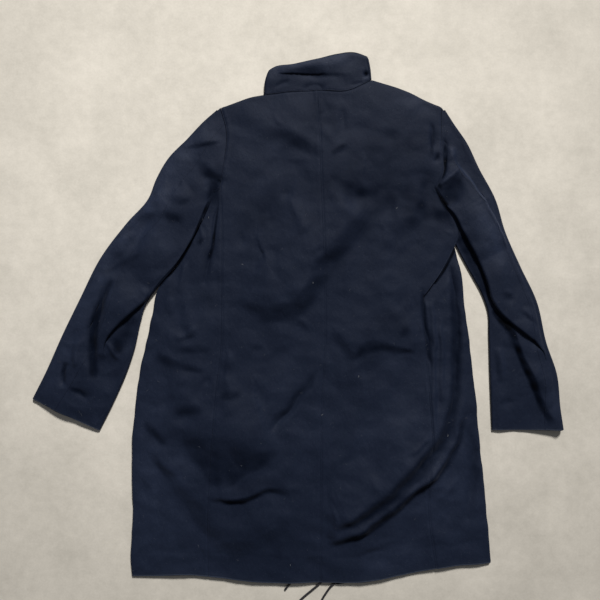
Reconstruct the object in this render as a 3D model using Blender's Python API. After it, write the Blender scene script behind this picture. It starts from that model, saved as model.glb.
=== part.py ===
"""Stand-collar wool coat with long set-in sleeves, laid flat with its back up.

The coat lies on the plane z = 0. +Y runs from the hem to the collar, +Z is up from the floor, and +X is the
wearer's right, because the back faces up. Tables and sizes are in millimetres, and the meshes are in metres.
Each cut piece is one wall of cloth: a grid of points on its middle surface, moved half the wall each way.
"""

import bpy
import bmesh
import numpy as np

MM = 0.001

# Cloth and layers
WALL = 2.2
SEAM_GAP = 0.3
SET_IN_GAP = 0.6
FLOOR_LAYER = WALL / 2
LAPPED_LAYER = FLOOR_LAYER + WALL + SEAM_GAP
BACK_LAYER = 6.6
TUCKED_LAYER = 4.0
SIDE_EDGE = BACK_LAYER
OUTLINE_GAP = 0.8

# Rows and columns of the grids
SIDE_ROWS = 17
HIDDEN_ROWS = 5
ARMHOLE_ROWS = 9
SHOULDER_COLUMNS = 6
NECK_COLUMNS = 6
SLEEVE_ROWS = 18
SLEEVE_COLUMNS = ARMHOLE_ROWS
COLLAR_ROWS = 6
SIDE_COLUMNS = 5
FRONT_COLUMNS = 4
TURN_POINTS = 3
CURVE_SAMPLES = 40
PATH_SAMPLES = 24
SHARP_ANGLE = 50

# Shares over which folds and heights fade
FOLD_FADE = 0.18
LIP_FADE = 0.12
EDGE_FADE = 0.2
COLLAR_RISE = 0.33

# Cuts that the cloth hides
UNDER_TURN = 80
UNDER_TURN_SHARE = 0.8
UNDER_TURN_COLUMNS = 3
LAP_HALF = 45
LAP_RAMP = 34
LAP_CLEAR = 12
GAP_UNDER_COLLAR = 6
COLLAR_SETBACK = 6
COLLAR_END_GAP = 4
COLLAR_GAP = 0.8
TUCK_START = 5
TUCK_RAMP = 24
TUCK_REACH = 20
HINDARM_COLUMN = 6
FOREARM_COLUMN = 3

# Drawcord ends
CORD_DIAMETER = 4
CORD_SPACING = 9
CORD_REST = CORD_DIAMETER / 2 + 0.05
CORD_START = 3.2
CORD_DROP_RUN = 14

# Seams, from the hem up
CENTRE_BACK = ((42, -489), (43, -271), (45, -156), (50, -60), (51, 5), (47, 160), (42, 300), (38, 421))
LEFT_SIDE_BACK = ((-164, -478), (-164, -384), (-161, -300), (-153, -191), (-148, -125), (-141, -60),
                  (-140, 60), (-140, 160), (-143, 238))
RIGHT_SIDE_BACK = ((256, -463), (245, -384), (241, -308), (246, -225), (243, -156), (238, -82), (234, -6),
                   (233, 40))
RIGHT_SLIT = ((233, 40), (250, 63), (264, 83), (278, 108), (291, 133))
RIGHT_FLAP = ((291, 133), (298, 152), (296, 166), (288, 184), (274, 205), (262, 228), (257, 238))
HIDDEN_SIDE_BACK = ((233, 40), (240, 120), (250, 236))
LEFT_ARMHOLE = ((-143, 240), (-134, 296), (-131, 345), (-142, 388))
RIGHT_ARMHOLE = ((257, 239), (269, 266), (268, 305), (266, 343), (266, 389))

# Outlines of the body and of the hem, outermost points
LEFT_BODY_EDGE = ((-304, -479), (-309, -448), (-306, -389), (-306, -300), (-304, -197), (-294, -110),
                  (-282, -53), (-270, -1), (-258, 53), (-222, 94), (-199, 131), (-177, 179), (-152, 232))
RIGHT_BODY_EDGE = ((359, -453), (353, -395), (340, -262), (327, -120), (313, -3), (302, 83), (293, 132),
                   (277, 180), (258, 234))
LEFT_SIDE_HEM = ((-304, -479), (-258, -477), (-210, -475), (-164, -478))
LEFT_HEM = ((-164, -478), (-130, -482), (-64, -489), (42, -489))
RIGHT_HEM = ((42, -489), (116, -488), (193, -475), (256, -463))
RIGHT_SIDE_HEM = ((256, -463), (293, -458), (321, -456), (359, -453))
LEFT_SHOULDER = ((-142, 388), (-125, 394), (-93, 406), (-63, 412))
RIGHT_SHOULDER = ((266, 389), (245, 398), (208, 416), (183, 426), (138, 440))
LEFT_NECK = ((-63, 412), (-25, 416), (38, 421))
RIGHT_NECK = ((38, 421), (95, 420), (138, 440))

# Collar stand
COLLAR_LEFT = ((-63, 412), (-60, 440), (-55, 456))
COLLAR_RIGHT = ((138, 440), (135, 462), (131, 482))
COLLAR_TOP_LEFT = ((-55, 456), (-42, 464), (-8, 468), (38, 478))
COLLAR_TOP_RIGHT = ((38, 478), (75, 487), (105, 490), (131, 482))
COLLAR_EDGE = 8.0
COLLAR_CROWN = 9.5
FRONT_NECK_DROP = 62

# Sleeve outlines, from the armhole to the cuff, outermost points
LEFT_OUTER = ((-149, 385), (-174, 363), (-205, 330), (-239, 295), (-262, 255), (-275, 222), (-315, 176),
              (-364, 111), (-403, 34), (-436, -34), (-466, -101), (-491, -150))
LEFT_INNER = ((-152, 234), (-164, 216), (-179, 179), (-201, 131), (-224, 94), (-262, 50), (-282, 20),
              (-290, -8), (-301, -58), (-317, -105), (-340, -157), (-366, -209))
LEFT_CUFF = ((-366, -209), (-391, -197), (-446, -175), (-491, -150))
RIGHT_OUTER = ((273, 385), (291, 357), (313, 325), (336, 277), (367, 218), (384, 161), (412, 96), (443, 29),
               (460, -45), (480, -106), (486, -169), (491, -206))
RIGHT_INNER = ((258, 235), (277, 180), (294, 132), (312, 97), (326, 72), (341, 44), (352, 12), (354, -35),
               (356, -106), (358, -160), (360, -208))
RIGHT_CUFF = ((360, -208), (428, -208), (491, -206))

# Height of the sleeves' top layer: share of the length, inner edge, crown between the edges, outer edge
LEFT_SLEEVE_HEIGHTS = (
    (0.00, 6.6, 0.5, 6.6),
    (0.15, 12.0, 3.0, 8.0),
    (0.35, 17.0, 2.0, 9.0),
    (0.50, 15.0, 1.0, 9.0),
    (0.60, 7.0, 2.0, 9.0),
    (0.80, 6.0, 2.5, 8.0),
    (1.00, 5.5, 1.5, 7.0),
)
RIGHT_SLEEVE_HEIGHTS = (
    (0.00, 4.0, 0.0, 6.6),
    (0.10, 4.0, 0.0, 7.0),
    (0.35, 4.0, 0.0, 8.0),
    (0.60, 4.6, 1.0, 10.0),
    (0.80, 5.5, 2.0, 9.0),
    (1.00, 5.5, 1.5, 8.0),
)

# Folds: path in plan, half width, height above or below the layer
BODY_FOLDS = (
    (((310, -20), (306, -120), (285, -195), (240, -262), (160, -335), (95, -395)), 15, 7.0),
    (((332, -170), (318, -260), (270, -330)), 22, 3.0),
    (((120, 200), (80, 135), (35, 75), (5, 35), (-60, 25)), 24, 4.5),
    (((165, 150), (105, 65), (62, -20)), 28, 3.5),
    (((-170, -185), (-95, -178), (-20, -205)), 24, 4.5),
    (((-140, -352), (-85, -343), (-15, -318)), 14, 4.0),
    (((-190, 90), (-198, -20), (-215, -120)), 20, 4.0),
    (((-60, 330), (-5, 292), (60, 300)), 26, 3.0),
    (((150, -95), (190, -75), (225, -80)), 12, 2.5),
    (((-250, -260), (-215, -330), (-175, -400)), 18, 3.0),
    (((256, 70), (274, 110), (280, 160), (262, 205)), 16, 2.5),
)
SHOULDER_DROPS = (
    (LEFT_SHOULDER, 12, -2.4),
    (RIGHT_SHOULDER, 12, -2.4),
)
LEFT_SLEEVE_FOLDS = (
    (((-191, 318), (-148, 322)), 7, -2.0),
    (((-165, 292), (-150, 262)), 12, -3.0),
    (((-345, 62), (-372, 3), (-381, -49), (-374, -108)), 11, -3.5),
    (((-428, -84), (-431, -128)), 8, -2.0),
)
RIGHT_SLEEVE_FOLDS = (
    (((273, 325), (271, 266)), 6, -2.0),
    (((403, -47), (417, -78), (431, -110), (448, -149), (464, -186)), 7, -4.0),
    (((430, -85), (448, -120), (470, -160)), 14, 3.0),
)
COLLAR_FOLDS = (
    (((-32, 455), (-10, 452), (14, 454), (45, 452), (90, 447)), 5, -3.0),
    (((-40, 426), (30, 432), (110, 430)), 9, 1.5),
)

# Lips, where one part of a sleeve rolls over another: path with the high side on its left, height, run
LEFT_SLEEVE_LIP = (((-351, -36), (-338, -22), (-313, 3), (-281, 30), (-262, 48)), 9.0, 60)
RIGHT_SLEEVE_LIP = (((279, 216), (294, 190), (306, 160), (320, 130), (337, 97), (351, 62), (360, 33), (371, 4),
                     (396, -26), (419, -40), (441, -56), (457, -84)), 15.0, 75)
LIP_RAMP = 7

# Cord ends: the points that each one follows on the floor
CORD_ROUTES = {
    "cord_short": ((-3, -480), (-9, -487), (-16, -496), (-24, -506)),
    "cord_middle": ((51, -484), (41, -494), (28, -505), (9, -521), (-6, -537), (-17, -556)),
    "cord_right": ((69, -492), (62, -499), (54, -510), (46, -523), (39, -543), (36, -565)),
}

# Hem of the two fronts, a little above the back's, and lower where it shows
LEFT_FRONT_HEM = ((-222, -473), (-130, -476), (-60, -479), (20, -478), (88, -478))
RIGHT_FRONT_HEM = ((-3, -478), (58, -478), (63, -490), (100, -490), (190, -473), (280, -456))
LEFT_LAP_COLUMNS = (0, 0.5, 1)
RIGHT_LAP_COLUMNS = (0, 0.36, 0.41, 1)

WOOL = (0.018, 0.021, 0.036, 1)
WOOL_ROUGHNESS = 0.95
CORD = (0.012, 0.011, 0.014, 1)
CORD_ROUGHNESS = 0.75


def unit(vectors):
    """Vectors of length 1 along the last axis."""
    return vectors / np.linalg.norm(vectors, axis=-1, keepdims=True)


def smooth_line(points, count):
    """Points evenly spaced along a smooth curve through the given ones."""
    knots = np.array(points, float)
    chord = np.concatenate([[0], np.cumsum(np.linalg.norm(np.diff(knots, axis=0), axis=1))])
    slopes = np.gradient(knots, chord, axis=0)
    at = np.linspace(0, chord[-1], CURVE_SAMPLES * len(knots))
    span = np.clip(np.searchsorted(chord, at, side="right") - 1, 0, len(knots) - 2)
    step = (chord[span + 1] - chord[span])[:, None]
    t = (at - chord[span])[:, None] / step
    start = (2 * t**3 - 3 * t**2 + 1) * knots[span] + (t**3 - 2 * t**2 + t) * step * slopes[span]
    end = (3 * t**2 - 2 * t**3) * knots[span + 1] + (t**3 - t**2) * step * slopes[span + 1]
    line = start + end
    run = np.concatenate([[0], np.cumsum(np.linalg.norm(np.diff(line, axis=0), axis=1))])
    even = np.linspace(0, run[-1], count)
    return np.column_stack([np.interp(even, run, line[:, axis]) for axis in range(line.shape[1])])


def chain(*sections):
    """Smooth lines end to end: each section is its points and its count, and shares its first point."""
    lines = [smooth_line(points, count) for points, count in sections]
    return np.concatenate([lines[0]] + [line[1:] for line in lines[1:]])


def moved_in(line, side, distance):
    """A line in plan moved sideways: side 1 moves it to the left of its direction, and -1 to the right."""
    along = unit(np.gradient(line, axis=0))
    left = np.column_stack([-along[:, 1], along[:, 0]])
    return line + side * np.reshape(distance, (-1, 1)) * left


def plan_patch(bottom, top, left, right):
    """Grid [row][column] of plan points blended from its four edges."""
    v = np.linspace(0, 1, len(left))[:, None, None]
    u = np.linspace(0, 1, len(bottom))[None, :, None]
    ruled = (1 - v) * bottom[None] + v * top[None] + (1 - u) * left[:, None] + u * right[:, None]
    low = (1 - v) * ((1 - u) * bottom[0] + u * bottom[-1])
    high = v * ((1 - u) * top[0] + u * top[-1])
    return ruled - low - high


def nearest_on(path, plan):
    """Signed distance to a smooth path, positive on its left, and the share of the path at the nearest point."""
    line = smooth_line(path, PATH_SAMPLES)
    starts, ends = line[:-1], line[1:]
    runs = ends - starts
    away = plan[..., None, :] - starts
    share = np.clip((away * runs).sum(-1) / (runs**2).sum(-1), 0, 1)
    gap = away - share[..., None] * runs
    distance = np.linalg.norm(gap, axis=-1)
    best = distance.argmin(-1)
    pick = best[..., None]
    cross = runs[best][..., 0] * np.take_along_axis(away[..., 1], pick, -1)[..., 0]
    cross = cross - runs[best][..., 1] * np.take_along_axis(away[..., 0], pick, -1)[..., 0]
    along = (best + np.take_along_axis(share, pick, -1)[..., 0]) / len(runs)
    return np.sign(cross) * np.take_along_axis(distance, pick, -1)[..., 0], along


def eased(share):
    """A smooth step from 0 to 1 as the share does."""
    share = np.clip(share, 0, 1)
    return share * share * (3 - 2 * share)


def faded(along, ends=FOLD_FADE):
    """1 along a path, going to 0 at its two ends."""
    return eased(np.minimum(along, 1 - along) / ends)


def fold_heights(folds, plan, fade=True):
    """Sum of the folds' heights over plan points: soft ridges and troughs across each path."""
    total = np.zeros(plan.shape[:-1])
    for path, half_width, height in folds:
        distance, along = nearest_on(path, plan)
        strength = faded(along) if fade else 1.0
        total += height * strength * np.exp(-((distance / half_width) ** 2))
    return total


def lip_heights(lip, plan):
    """Height of a rolled lip: a steep rise at its path, then a long fall behind it."""
    path, height, run = lip
    distance, along = nearest_on(path, plan)
    fall = np.exp(-((np.maximum(distance, 0) / run) ** 2))
    return height * faded(along, LIP_FADE) * eased(distance / LIP_RAMP) * fall


def top_points(plan, height):
    """3-D points of a layer that faces up, and its offsets of half a wall."""
    points = np.dstack([plan, height])
    offsets = np.zeros_like(points)
    offsets[..., 2] = WALL / 2
    return points, offsets


def floor_points(plan, height=FLOOR_LAYER):
    """3-D points of a layer whose outside faces down, and its offsets of half a wall."""
    points, offsets = top_points(plan, np.full(plan.shape[:2], height))
    return points, -offsets


def turned_edge(edge, outward):
    """The half round fold between a top layer's edge and the floor layer, without its two end columns."""
    centre_height = (edge[:, 2] + FLOOR_LAYER) / 2
    radius = (edge[:, 2] - FLOOR_LAYER) / 2
    angles = np.linspace(np.pi / 2, -np.pi / 2, TURN_POINTS + 2)[1:-1]
    radial = np.concatenate(
        [outward[:, None] * np.cos(angles)[None, :, None], np.tile(np.sin(angles), (len(edge), 1))[..., None]],
        axis=-1,
    )
    centre = np.column_stack([edge[:, :2], centre_height])
    return centre[:, None] + radius[:, None, None] * radial, radial * WALL / 2


def outward_of(line, side):
    """Unit vectors in plan across a line: side 1 is to the left of its direction, and -1 to the right."""
    return moved_in(line, side, 1.0) - line


def draw_in(points, columns=(True, True), rows=(False, False), gap=SEAM_GAP / 2):
    """Moves the chosen edge columns and rows of a grid inwards by half a seam's gap."""
    points = points.copy()
    for chosen, edge, inner in ((columns[0], 0, 1), (columns[1], -1, -2)):
        if chosen:
            points[:, edge] += gap * unit(points[:, inner] - points[:, edge])
    for chosen, edge, inner in ((rows[0], 0, 1), (rows[1], -1, -2)):
        if chosen:
            points[edge] += gap * unit(points[inner] - points[edge])
    return points


def wall(name, points, offsets, collection):
    """One closed wall of cloth round a grid of middle points."""
    rows, columns = points.shape[:2]
    mesh = bpy.data.meshes.new(name)
    made = bmesh.new()
    sides = []
    for sign in (1, -1):
        placed = (points + sign * offsets) * MM
        sides.append([[made.verts.new(placed[r, c]) for c in range(columns)] for r in range(rows)])
    for side in sides:
        for r in range(rows - 1):
            for c in range(columns - 1):
                made.faces.new((side[r][c], side[r][c + 1], side[r + 1][c + 1], side[r + 1][c]))
    ring = [(0, c) for c in range(columns)]
    ring += [(r, columns - 1) for r in range(1, rows)]
    ring += [(rows - 1, c) for c in range(columns - 2, -1, -1)]
    ring += [(r, 0) for r in range(rows - 2, 0, -1)]
    for (r0, c0), (r1, c1) in zip(ring, ring[1:] + ring[:1]):
        made.faces.new((sides[0][r0][c0], sides[0][r1][c1], sides[1][r1][c1], sides[1][r0][c0]))
    bmesh.ops.recalc_face_normals(made, faces=made.faces)
    made.to_mesh(mesh)
    made.free()
    mesh.shade_smooth()
    mesh.set_sharp_from_angle(angle=np.radians(SHARP_ANGLE))
    mesh.materials.append(finish(name + "_wool", WOOL, WOOL_ROUGHNESS))
    collection.objects.link(bpy.data.objects.new(name, mesh))


def finish(name, color, roughness):
    """A Principled material."""
    material = bpy.data.materials.new(name)
    material.use_nodes = True
    shader = material.node_tree.nodes["Principled BSDF"]
    shader.inputs["Base Color"].default_value = color
    shader.inputs["Roughness"].default_value = roughness
    shader.inputs["Metallic"].default_value = 0
    return material


def body_height(plan):
    """Height of the body's top layer."""
    return BACK_LAYER + fold_heights(BODY_FOLDS, plan) + fold_heights(SHOULDER_DROPS, plan, fade=False)


def back_piece(name, hem, side, shoulder, neck, collection):
    """Half of the back, between its side back edge and the centre back seam."""
    rows = len(side)
    columns = SHOULDER_COLUMNS + NECK_COLUMNS - 1
    top = chain((shoulder, SHOULDER_COLUMNS), (neck, NECK_COLUMNS))
    plan = plan_patch(smooth_line(hem, columns), top, side, smooth_line(CENTRE_BACK, rows))
    points, offsets = top_points(plan, body_height(plan))
    wall(name, draw_in(points, rows=(False, True)), offsets, collection)


def side_piece(name, hem, seam, edge, inward, top_height, collection):
    """A side panel: from the side back seam over the side fold to the side front seam underneath.

    seam and edge run from the hem up, and inward is 1 where the body is on the edge's left. It gives back the
    plan of the side front seam.
    """
    radius = (SIDE_EDGE - FLOOR_LAYER) / 2
    flat_edge = moved_in(edge, inward, radius + WALL / 2 + OUTLINE_GAP / 2)
    hem_line = np.linspace(seam[0], flat_edge[0], SIDE_COLUMNS)
    hem_line[:, 1] = smooth_line(hem, SIDE_COLUMNS)[:, 1]
    plan = plan_patch(hem_line, np.linspace(seam[-1], flat_edge[-1], SIDE_COLUMNS), seam, flat_edge)
    points, offsets = top_points(plan, top_height(plan))
    outward = outward_of(edge, -inward)
    turn, turn_offsets = turned_edge(points[:, -1], outward)
    width = np.linalg.norm(flat_edge - seam, axis=1)
    reach = np.minimum(UNDER_TURN, UNDER_TURN_SHARE * width)
    steps = reach[:, None] * np.linspace(0, 1, UNDER_TURN_COLUMNS)
    under_plan = flat_edge[:, None] - outward[:, None] * steps[..., None]
    under, under_offsets = floor_points(under_plan)
    points = np.concatenate([points, turn, under], axis=1)
    offsets = np.concatenate([offsets, turn_offsets, under_offsets], axis=1)
    wall(name, draw_in(points), offsets, collection)
    return under_plan[:, -1]


def front_neck(extra=0):
    """Line of the front neck from the left shoulder to the right one, lowered further by extra at its middle."""
    line = chain((LEFT_NECK, NECK_COLUMNS), (RIGHT_NECK, NECK_COLUMNS))
    share = np.linspace(0, 1, len(line))
    line[:, 1] -= (FRONT_NECK_DROP + extra) * 4 * share * (1 - share)
    return line


def on_line(line, across):
    """Points of a line in plan at the given X values."""
    order = np.argsort(line[:, 0])
    return np.column_stack([across, np.interp(across, line[order, 0], line[order, 1])])


def front_piece(name, hem, side, armhole, shoulder, lap_side, lap_columns, collection):
    """A front on the floor, from its side front seam to its edge past the centre.

    lap_side is 1 where the lap reaches towards +X. That front is the inner one, whose lap lies on the other's.
    lap_columns are the places of the grid's last columns, as shares of the lap.
    """
    outer = np.concatenate([side, armhole[1:]])
    top_line = np.concatenate([smooth_line(shoulder, SHOULDER_COLUMNS), front_neck(GAP_UNDER_COLLAR)])
    ends = []
    for line, centre, start, corner in ((np.array(hem, float), CENTRE_BACK[0][0], side[0][0], None),
                                        (top_line, CENTRE_BACK[-1][0], armhole[-1][0], shoulder[-1][0])):
        ramp = centre - lap_side * (LAP_HALF + LAP_RAMP)
        if corner is None:
            corner = ramp + (start - ramp) / (FRONT_COLUMNS - 1)
        lap = centre - lap_side * (LAP_HALF + LAP_CLEAR)
        edge = centre + lap_side * LAP_HALF
        flat = np.append(np.linspace(start, corner, FRONT_COLUMNS - 1), ramp)
        across = np.append(flat, lap + (edge - lap) * np.array(lap_columns))
        ends.append(on_line(line, across))
    bottom, top = ends
    plan = plan_patch(bottom, top, outer, np.linspace(bottom[-1], top[-1], len(outer)))
    points, offsets = floor_points(plan)
    if lap_side > 0:
        points[:, FRONT_COLUMNS:, 2] = LAPPED_LAYER
    wall(name, draw_in(points), offsets, collection)


def sleeve_pieces(side_name, outer, inner, armhole, cuff, inward, heights, folds, lip, collection):
    """The upper and the under sleeve: one flat tube parted at the hindarm seam on top and the forearm seam below.

    outer and inner run from the armhole to the cuff, and inward is 1 where the sleeve is on the inner edge's left.
    """
    outer_line = smooth_line(outer, SLEEVE_ROWS)
    inner_line = smooth_line(inner, SLEEVE_ROWS)
    share, inner_height, crown, outer_height = np.array(heights).T
    rows = np.linspace(0, 1, SLEEVE_ROWS)
    at_inner = np.interp(rows, share, inner_height)
    at_outer = np.interp(rows, share, outer_height)
    inner_flat = moved_in(inner_line, inward, (at_inner - FLOOR_LAYER + WALL) / 2 + OUTLINE_GAP / 2)
    outer_flat = moved_in(outer_line, -inward, (at_outer - FLOOR_LAYER + WALL) / 2)
    cap = smooth_line(armhole, SLEEVE_COLUMNS)
    cap[0], cap[-1] = inner_flat[0], outer_flat[0]
    plan = plan_patch(cap, smooth_line(cuff, SLEEVE_COLUMNS), inner_flat, outer_flat)
    plan[-1] = np.linspace(inner_flat[-1], outer_flat[-1], SLEEVE_COLUMNS)
    u = np.linspace(0, 1, SLEEVE_COLUMNS)[None, :]
    height = at_inner[:, None] * (1 - u) + at_outer[:, None] * u
    height = height + np.interp(rows, share, crown)[:, None] * 4 * u * (1 - u)
    inside = faded(u, EDGE_FADE)
    height = height + inside * (fold_heights(folds, plan) + lip_heights(lip, plan))
    top, top_offsets = top_points(plan, np.maximum(height, TUCKED_LAYER))
    under, under_offsets = floor_points(plan)
    outer_turn, outer_offsets = turned_edge(top[:, -1], outward_of(outer_line, inward))
    inner_turn, inner_offsets = turned_edge(top[:, 0], outward_of(inner_line, -inward))
    parts = {
        "sleeve_upper_" + side_name: (
            (top[:, HINDARM_COLUMN:], outer_turn, under[:, :FOREARM_COLUMN - 1:-1]),
            (top_offsets[:, HINDARM_COLUMN:], outer_offsets, under_offsets[:, :FOREARM_COLUMN - 1:-1]),
        ),
        "sleeve_under_" + side_name: (
            (under[:, FOREARM_COLUMN::-1], inner_turn[:, ::-1], top[:, :HINDARM_COLUMN + 1]),
            (under_offsets[:, FOREARM_COLUMN::-1], inner_offsets[:, ::-1], top_offsets[:, :HINDARM_COLUMN + 1]),
        ),
    }
    for name, (points, offsets) in parts.items():
        grid = draw_in(draw_in(np.concatenate(points, axis=1)), (False, False), (True, False), SET_IN_GAP)
        wall(name, grid, np.concatenate(offsets, axis=1), collection)


def collar_piece(collection):
    """The collar stand: one band, back part on top, turned at both sides to ends that meet underneath."""
    radius = (COLLAR_EDGE - FLOOR_LAYER) / 2
    left = moved_in(smooth_line(COLLAR_LEFT, COLLAR_ROWS), -1, radius + WALL / 2)
    right = moved_in(smooth_line(COLLAR_RIGHT, COLLAR_ROWS), 1, radius + WALL / 2)
    seam = chain((LEFT_NECK, NECK_COLUMNS), (RIGHT_NECK, NECK_COLUMNS))
    top_edge = chain((COLLAR_TOP_LEFT, NECK_COLUMNS), (COLLAR_TOP_RIGHT, NECK_COLUMNS))
    seam[0], seam[-1] = left[0], right[0]
    top_edge[0], top_edge[-1] = left[-1], right[-1]
    plan = plan_patch(seam, top_edge, left, right)
    columns = len(seam)
    u = np.linspace(0, 1, columns)[None, :]
    v = np.linspace(0, 1, COLLAR_ROWS)[:, None]
    plan[0, :, 1] += COLLAR_GAP
    crown = COLLAR_EDGE + (COLLAR_CROWN - COLLAR_EDGE) * 4 * u * (1 - u)
    height = BACK_LAYER + (crown - BACK_LAYER) * eased(v / COLLAR_RISE)
    height = height + faded(u, EDGE_FADE) * fold_heights(COLLAR_FOLDS, plan)
    top, top_offsets = top_points(plan, height)
    left_turn, left_offsets = turned_edge(top[:, 0], outward_of(left, 1))
    right_turn, right_offsets = turned_edge(top[:, -1], outward_of(right, -1))
    under_bottom = front_neck()
    under_bottom[0], under_bottom[-1] = left[0], right[0]
    under_plan = plan_patch(under_bottom, top_edge - np.array([0, COLLAR_SETBACK]), left, right)
    under, under_offsets = floor_points(under_plan)
    middle = columns // 2
    left_under = under[:, :middle + 1].copy()
    right_under = under[:, middle:].copy()
    left_under[:, -1, 0] -= COLLAR_END_GAP / 2
    right_under[:, 0, 0] += COLLAR_END_GAP / 2
    points = (left_under[:, ::-1], left_turn[:, ::-1], top, right_turn, right_under[:, ::-1])
    offsets = (under_offsets[:, middle::-1], left_offsets[:, ::-1], top_offsets, right_offsets,
               under_offsets[:, :middle - 1:-1])
    grid = np.concatenate(points, axis=1)
    wall("collar", grid, np.concatenate(offsets, axis=1), collection)


def cord_piece(name, route, collection):
    """A round cord end that comes out under the back and lies on the floor, as short straight runs."""
    flat = np.array(route, float)
    length = np.linalg.norm(np.diff(flat, axis=0), axis=1).sum()
    line = smooth_line(route, int(round(length / CORD_SPACING)) + 2)
    run = np.linspace(0, length, len(line))
    heights = CORD_REST + (CORD_START - CORD_REST) * eased(1 - run / CORD_DROP_RUN)
    curve = bpy.data.curves.new(name, "CURVE")
    curve.dimensions = "3D"
    curve.bevel_depth = CORD_DIAMETER / 2 * MM
    curve.bevel_resolution = 2
    curve.use_fill_caps = True
    spline = curve.splines.new("POLY")
    spline.points.add(len(line) - 1)
    for point, (x, y), height in zip(spline.points, line, heights):
        point.co = (x * MM, y * MM, height * MM, 1)
    curve.materials.append(finish(name + "_braid", CORD, CORD_ROUGHNESS))
    collection.objects.link(bpy.data.objects.new(name, curve))


def right_side_height(plan):
    """Height of the right side panel's top layer, which lies tucked under the back above the slit."""
    distance, _ = nearest_on(RIGHT_SLIT, plan)
    above = (plan[..., 1] - TUCK_START) / TUCK_RAMP
    tucked = eased((distance + TUCK_RAMP) / TUCK_REACH) * eased(above)
    return (1 - tucked) * body_height(plan) + tucked * TUCKED_LAYER


def make_coat():
    """Builds every piece of the coat."""
    coat = bpy.data.collections.new("stand_collar_coat")
    bpy.context.scene.collection.children.link(coat)
    left_seam = smooth_line(LEFT_SIDE_BACK, SIDE_ROWS)
    left_outer = np.concatenate([left_seam, smooth_line(LEFT_ARMHOLE, ARMHOLE_ROWS)])
    back_piece("back_left", LEFT_HEM, left_outer, LEFT_SHOULDER, LEFT_NECK, coat)

    right_lower = smooth_line(RIGHT_SIDE_BACK, SIDE_ROWS - HIDDEN_ROWS)
    right_outer = np.concatenate([
        right_lower,
        smooth_line(RIGHT_SLIT, 5)[1:],
        smooth_line(RIGHT_FLAP, 6)[1:],
        smooth_line(RIGHT_ARMHOLE, ARMHOLE_ROWS)[1:],
    ])
    back_piece("back_right", RIGHT_HEM[::-1], right_outer, RIGHT_SHOULDER, RIGHT_NECK[::-1], coat)

    left_front_seam = side_piece("side_left", LEFT_SIDE_HEM[::-1], left_seam,
                                 smooth_line(LEFT_BODY_EDGE, SIDE_ROWS), -1, body_height, coat)
    hidden_seam = smooth_line(HIDDEN_SIDE_BACK, HIDDEN_ROWS + 1)
    right_seam = np.concatenate([right_lower, hidden_seam[1:]])
    right_front_seam = side_piece("side_right", RIGHT_SIDE_HEM, right_seam,
                                  smooth_line(RIGHT_BODY_EDGE, len(right_seam)), 1, right_side_height, coat)

    left_armhole = smooth_line(LEFT_ARMHOLE, ARMHOLE_ROWS)
    right_armhole = smooth_line(RIGHT_ARMHOLE, ARMHOLE_ROWS)
    front_piece("front_left", LEFT_FRONT_HEM, left_front_seam, left_armhole, LEFT_SHOULDER, 1, LEFT_LAP_COLUMNS,
                coat)
    front_piece("front_right", RIGHT_FRONT_HEM, right_front_seam, right_armhole, RIGHT_SHOULDER, -1,
                RIGHT_LAP_COLUMNS, coat)

    sleeve_pieces("left", LEFT_OUTER, LEFT_INNER, LEFT_ARMHOLE, LEFT_CUFF, -1, LEFT_SLEEVE_HEIGHTS,
                  LEFT_SLEEVE_FOLDS, LEFT_SLEEVE_LIP, coat)
    sleeve_pieces("right", RIGHT_OUTER, RIGHT_INNER, RIGHT_ARMHOLE, RIGHT_CUFF, 1, RIGHT_SLEEVE_HEIGHTS,
                  RIGHT_SLEEVE_FOLDS, RIGHT_SLEEVE_LIP, coat)
    collar_piece(coat)
    for name, route in CORD_ROUTES.items():
        cord_piece(name, route, coat)


for old in list(bpy.data.objects):
    bpy.data.objects.remove(old)
make_coat()
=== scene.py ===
"""Looks of a stand-collar wool coat that lies flat on a floor with its back up.

Tables hold sizes and places in millimetres in the row frame: +Y runs from the hem to the collar, +X is
the wearer's right, because the back faces up, and +Z is up from the floor. Meshes are in metres. A fold's
rows are x, y, half width and height.
"""

import logging
from dataclasses import dataclass, field
from enum import Enum

import bpy
import numpy as np
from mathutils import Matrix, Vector


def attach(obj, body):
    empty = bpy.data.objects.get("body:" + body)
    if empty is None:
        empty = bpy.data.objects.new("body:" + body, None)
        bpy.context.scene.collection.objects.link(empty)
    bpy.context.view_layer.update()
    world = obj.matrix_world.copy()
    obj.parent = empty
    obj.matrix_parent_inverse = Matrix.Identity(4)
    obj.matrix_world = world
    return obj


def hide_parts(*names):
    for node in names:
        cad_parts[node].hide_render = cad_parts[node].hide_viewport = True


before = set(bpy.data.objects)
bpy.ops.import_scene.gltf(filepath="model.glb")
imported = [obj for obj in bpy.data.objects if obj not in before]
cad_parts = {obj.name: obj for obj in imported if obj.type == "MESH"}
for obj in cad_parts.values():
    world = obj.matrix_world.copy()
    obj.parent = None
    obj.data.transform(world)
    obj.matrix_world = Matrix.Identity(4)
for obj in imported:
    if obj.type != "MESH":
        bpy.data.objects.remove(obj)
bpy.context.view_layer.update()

MM = 0.001
log = logging.getLogger("coat")

# Cloth and layers, as the frame has them
WALL = 2.2
HALF_WALL = WALL / 2
FLOOR_LAYER = WALL / 2
LAPPED_LAYER = FLOOR_LAYER + WALL + 0.3
BACK_LAYER = 6.6
TUCKED_LAYER = 4.0
OUTLINE_GAP = 0.8
SEAM_GAP = 0.3
SET_IN_GAP = 0.6
NECK_DROP = 62.0

# Spacing of the points of a cloth's mesh
FINE = 2.6
SLEEVE_FINE = 2.3
COARSE = 8.0
DENSE = 420

# Samples of curves and of fold lines
CURVE_SAMPLES = 40
LINE_SAMPLES = 30

# The deepest that the nap and the painted shade and highlights darken or pale the cloth, as a share of its
# colour
NAP_AND_PAINTED_LIGHT_LIMIT = 0.9

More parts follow.
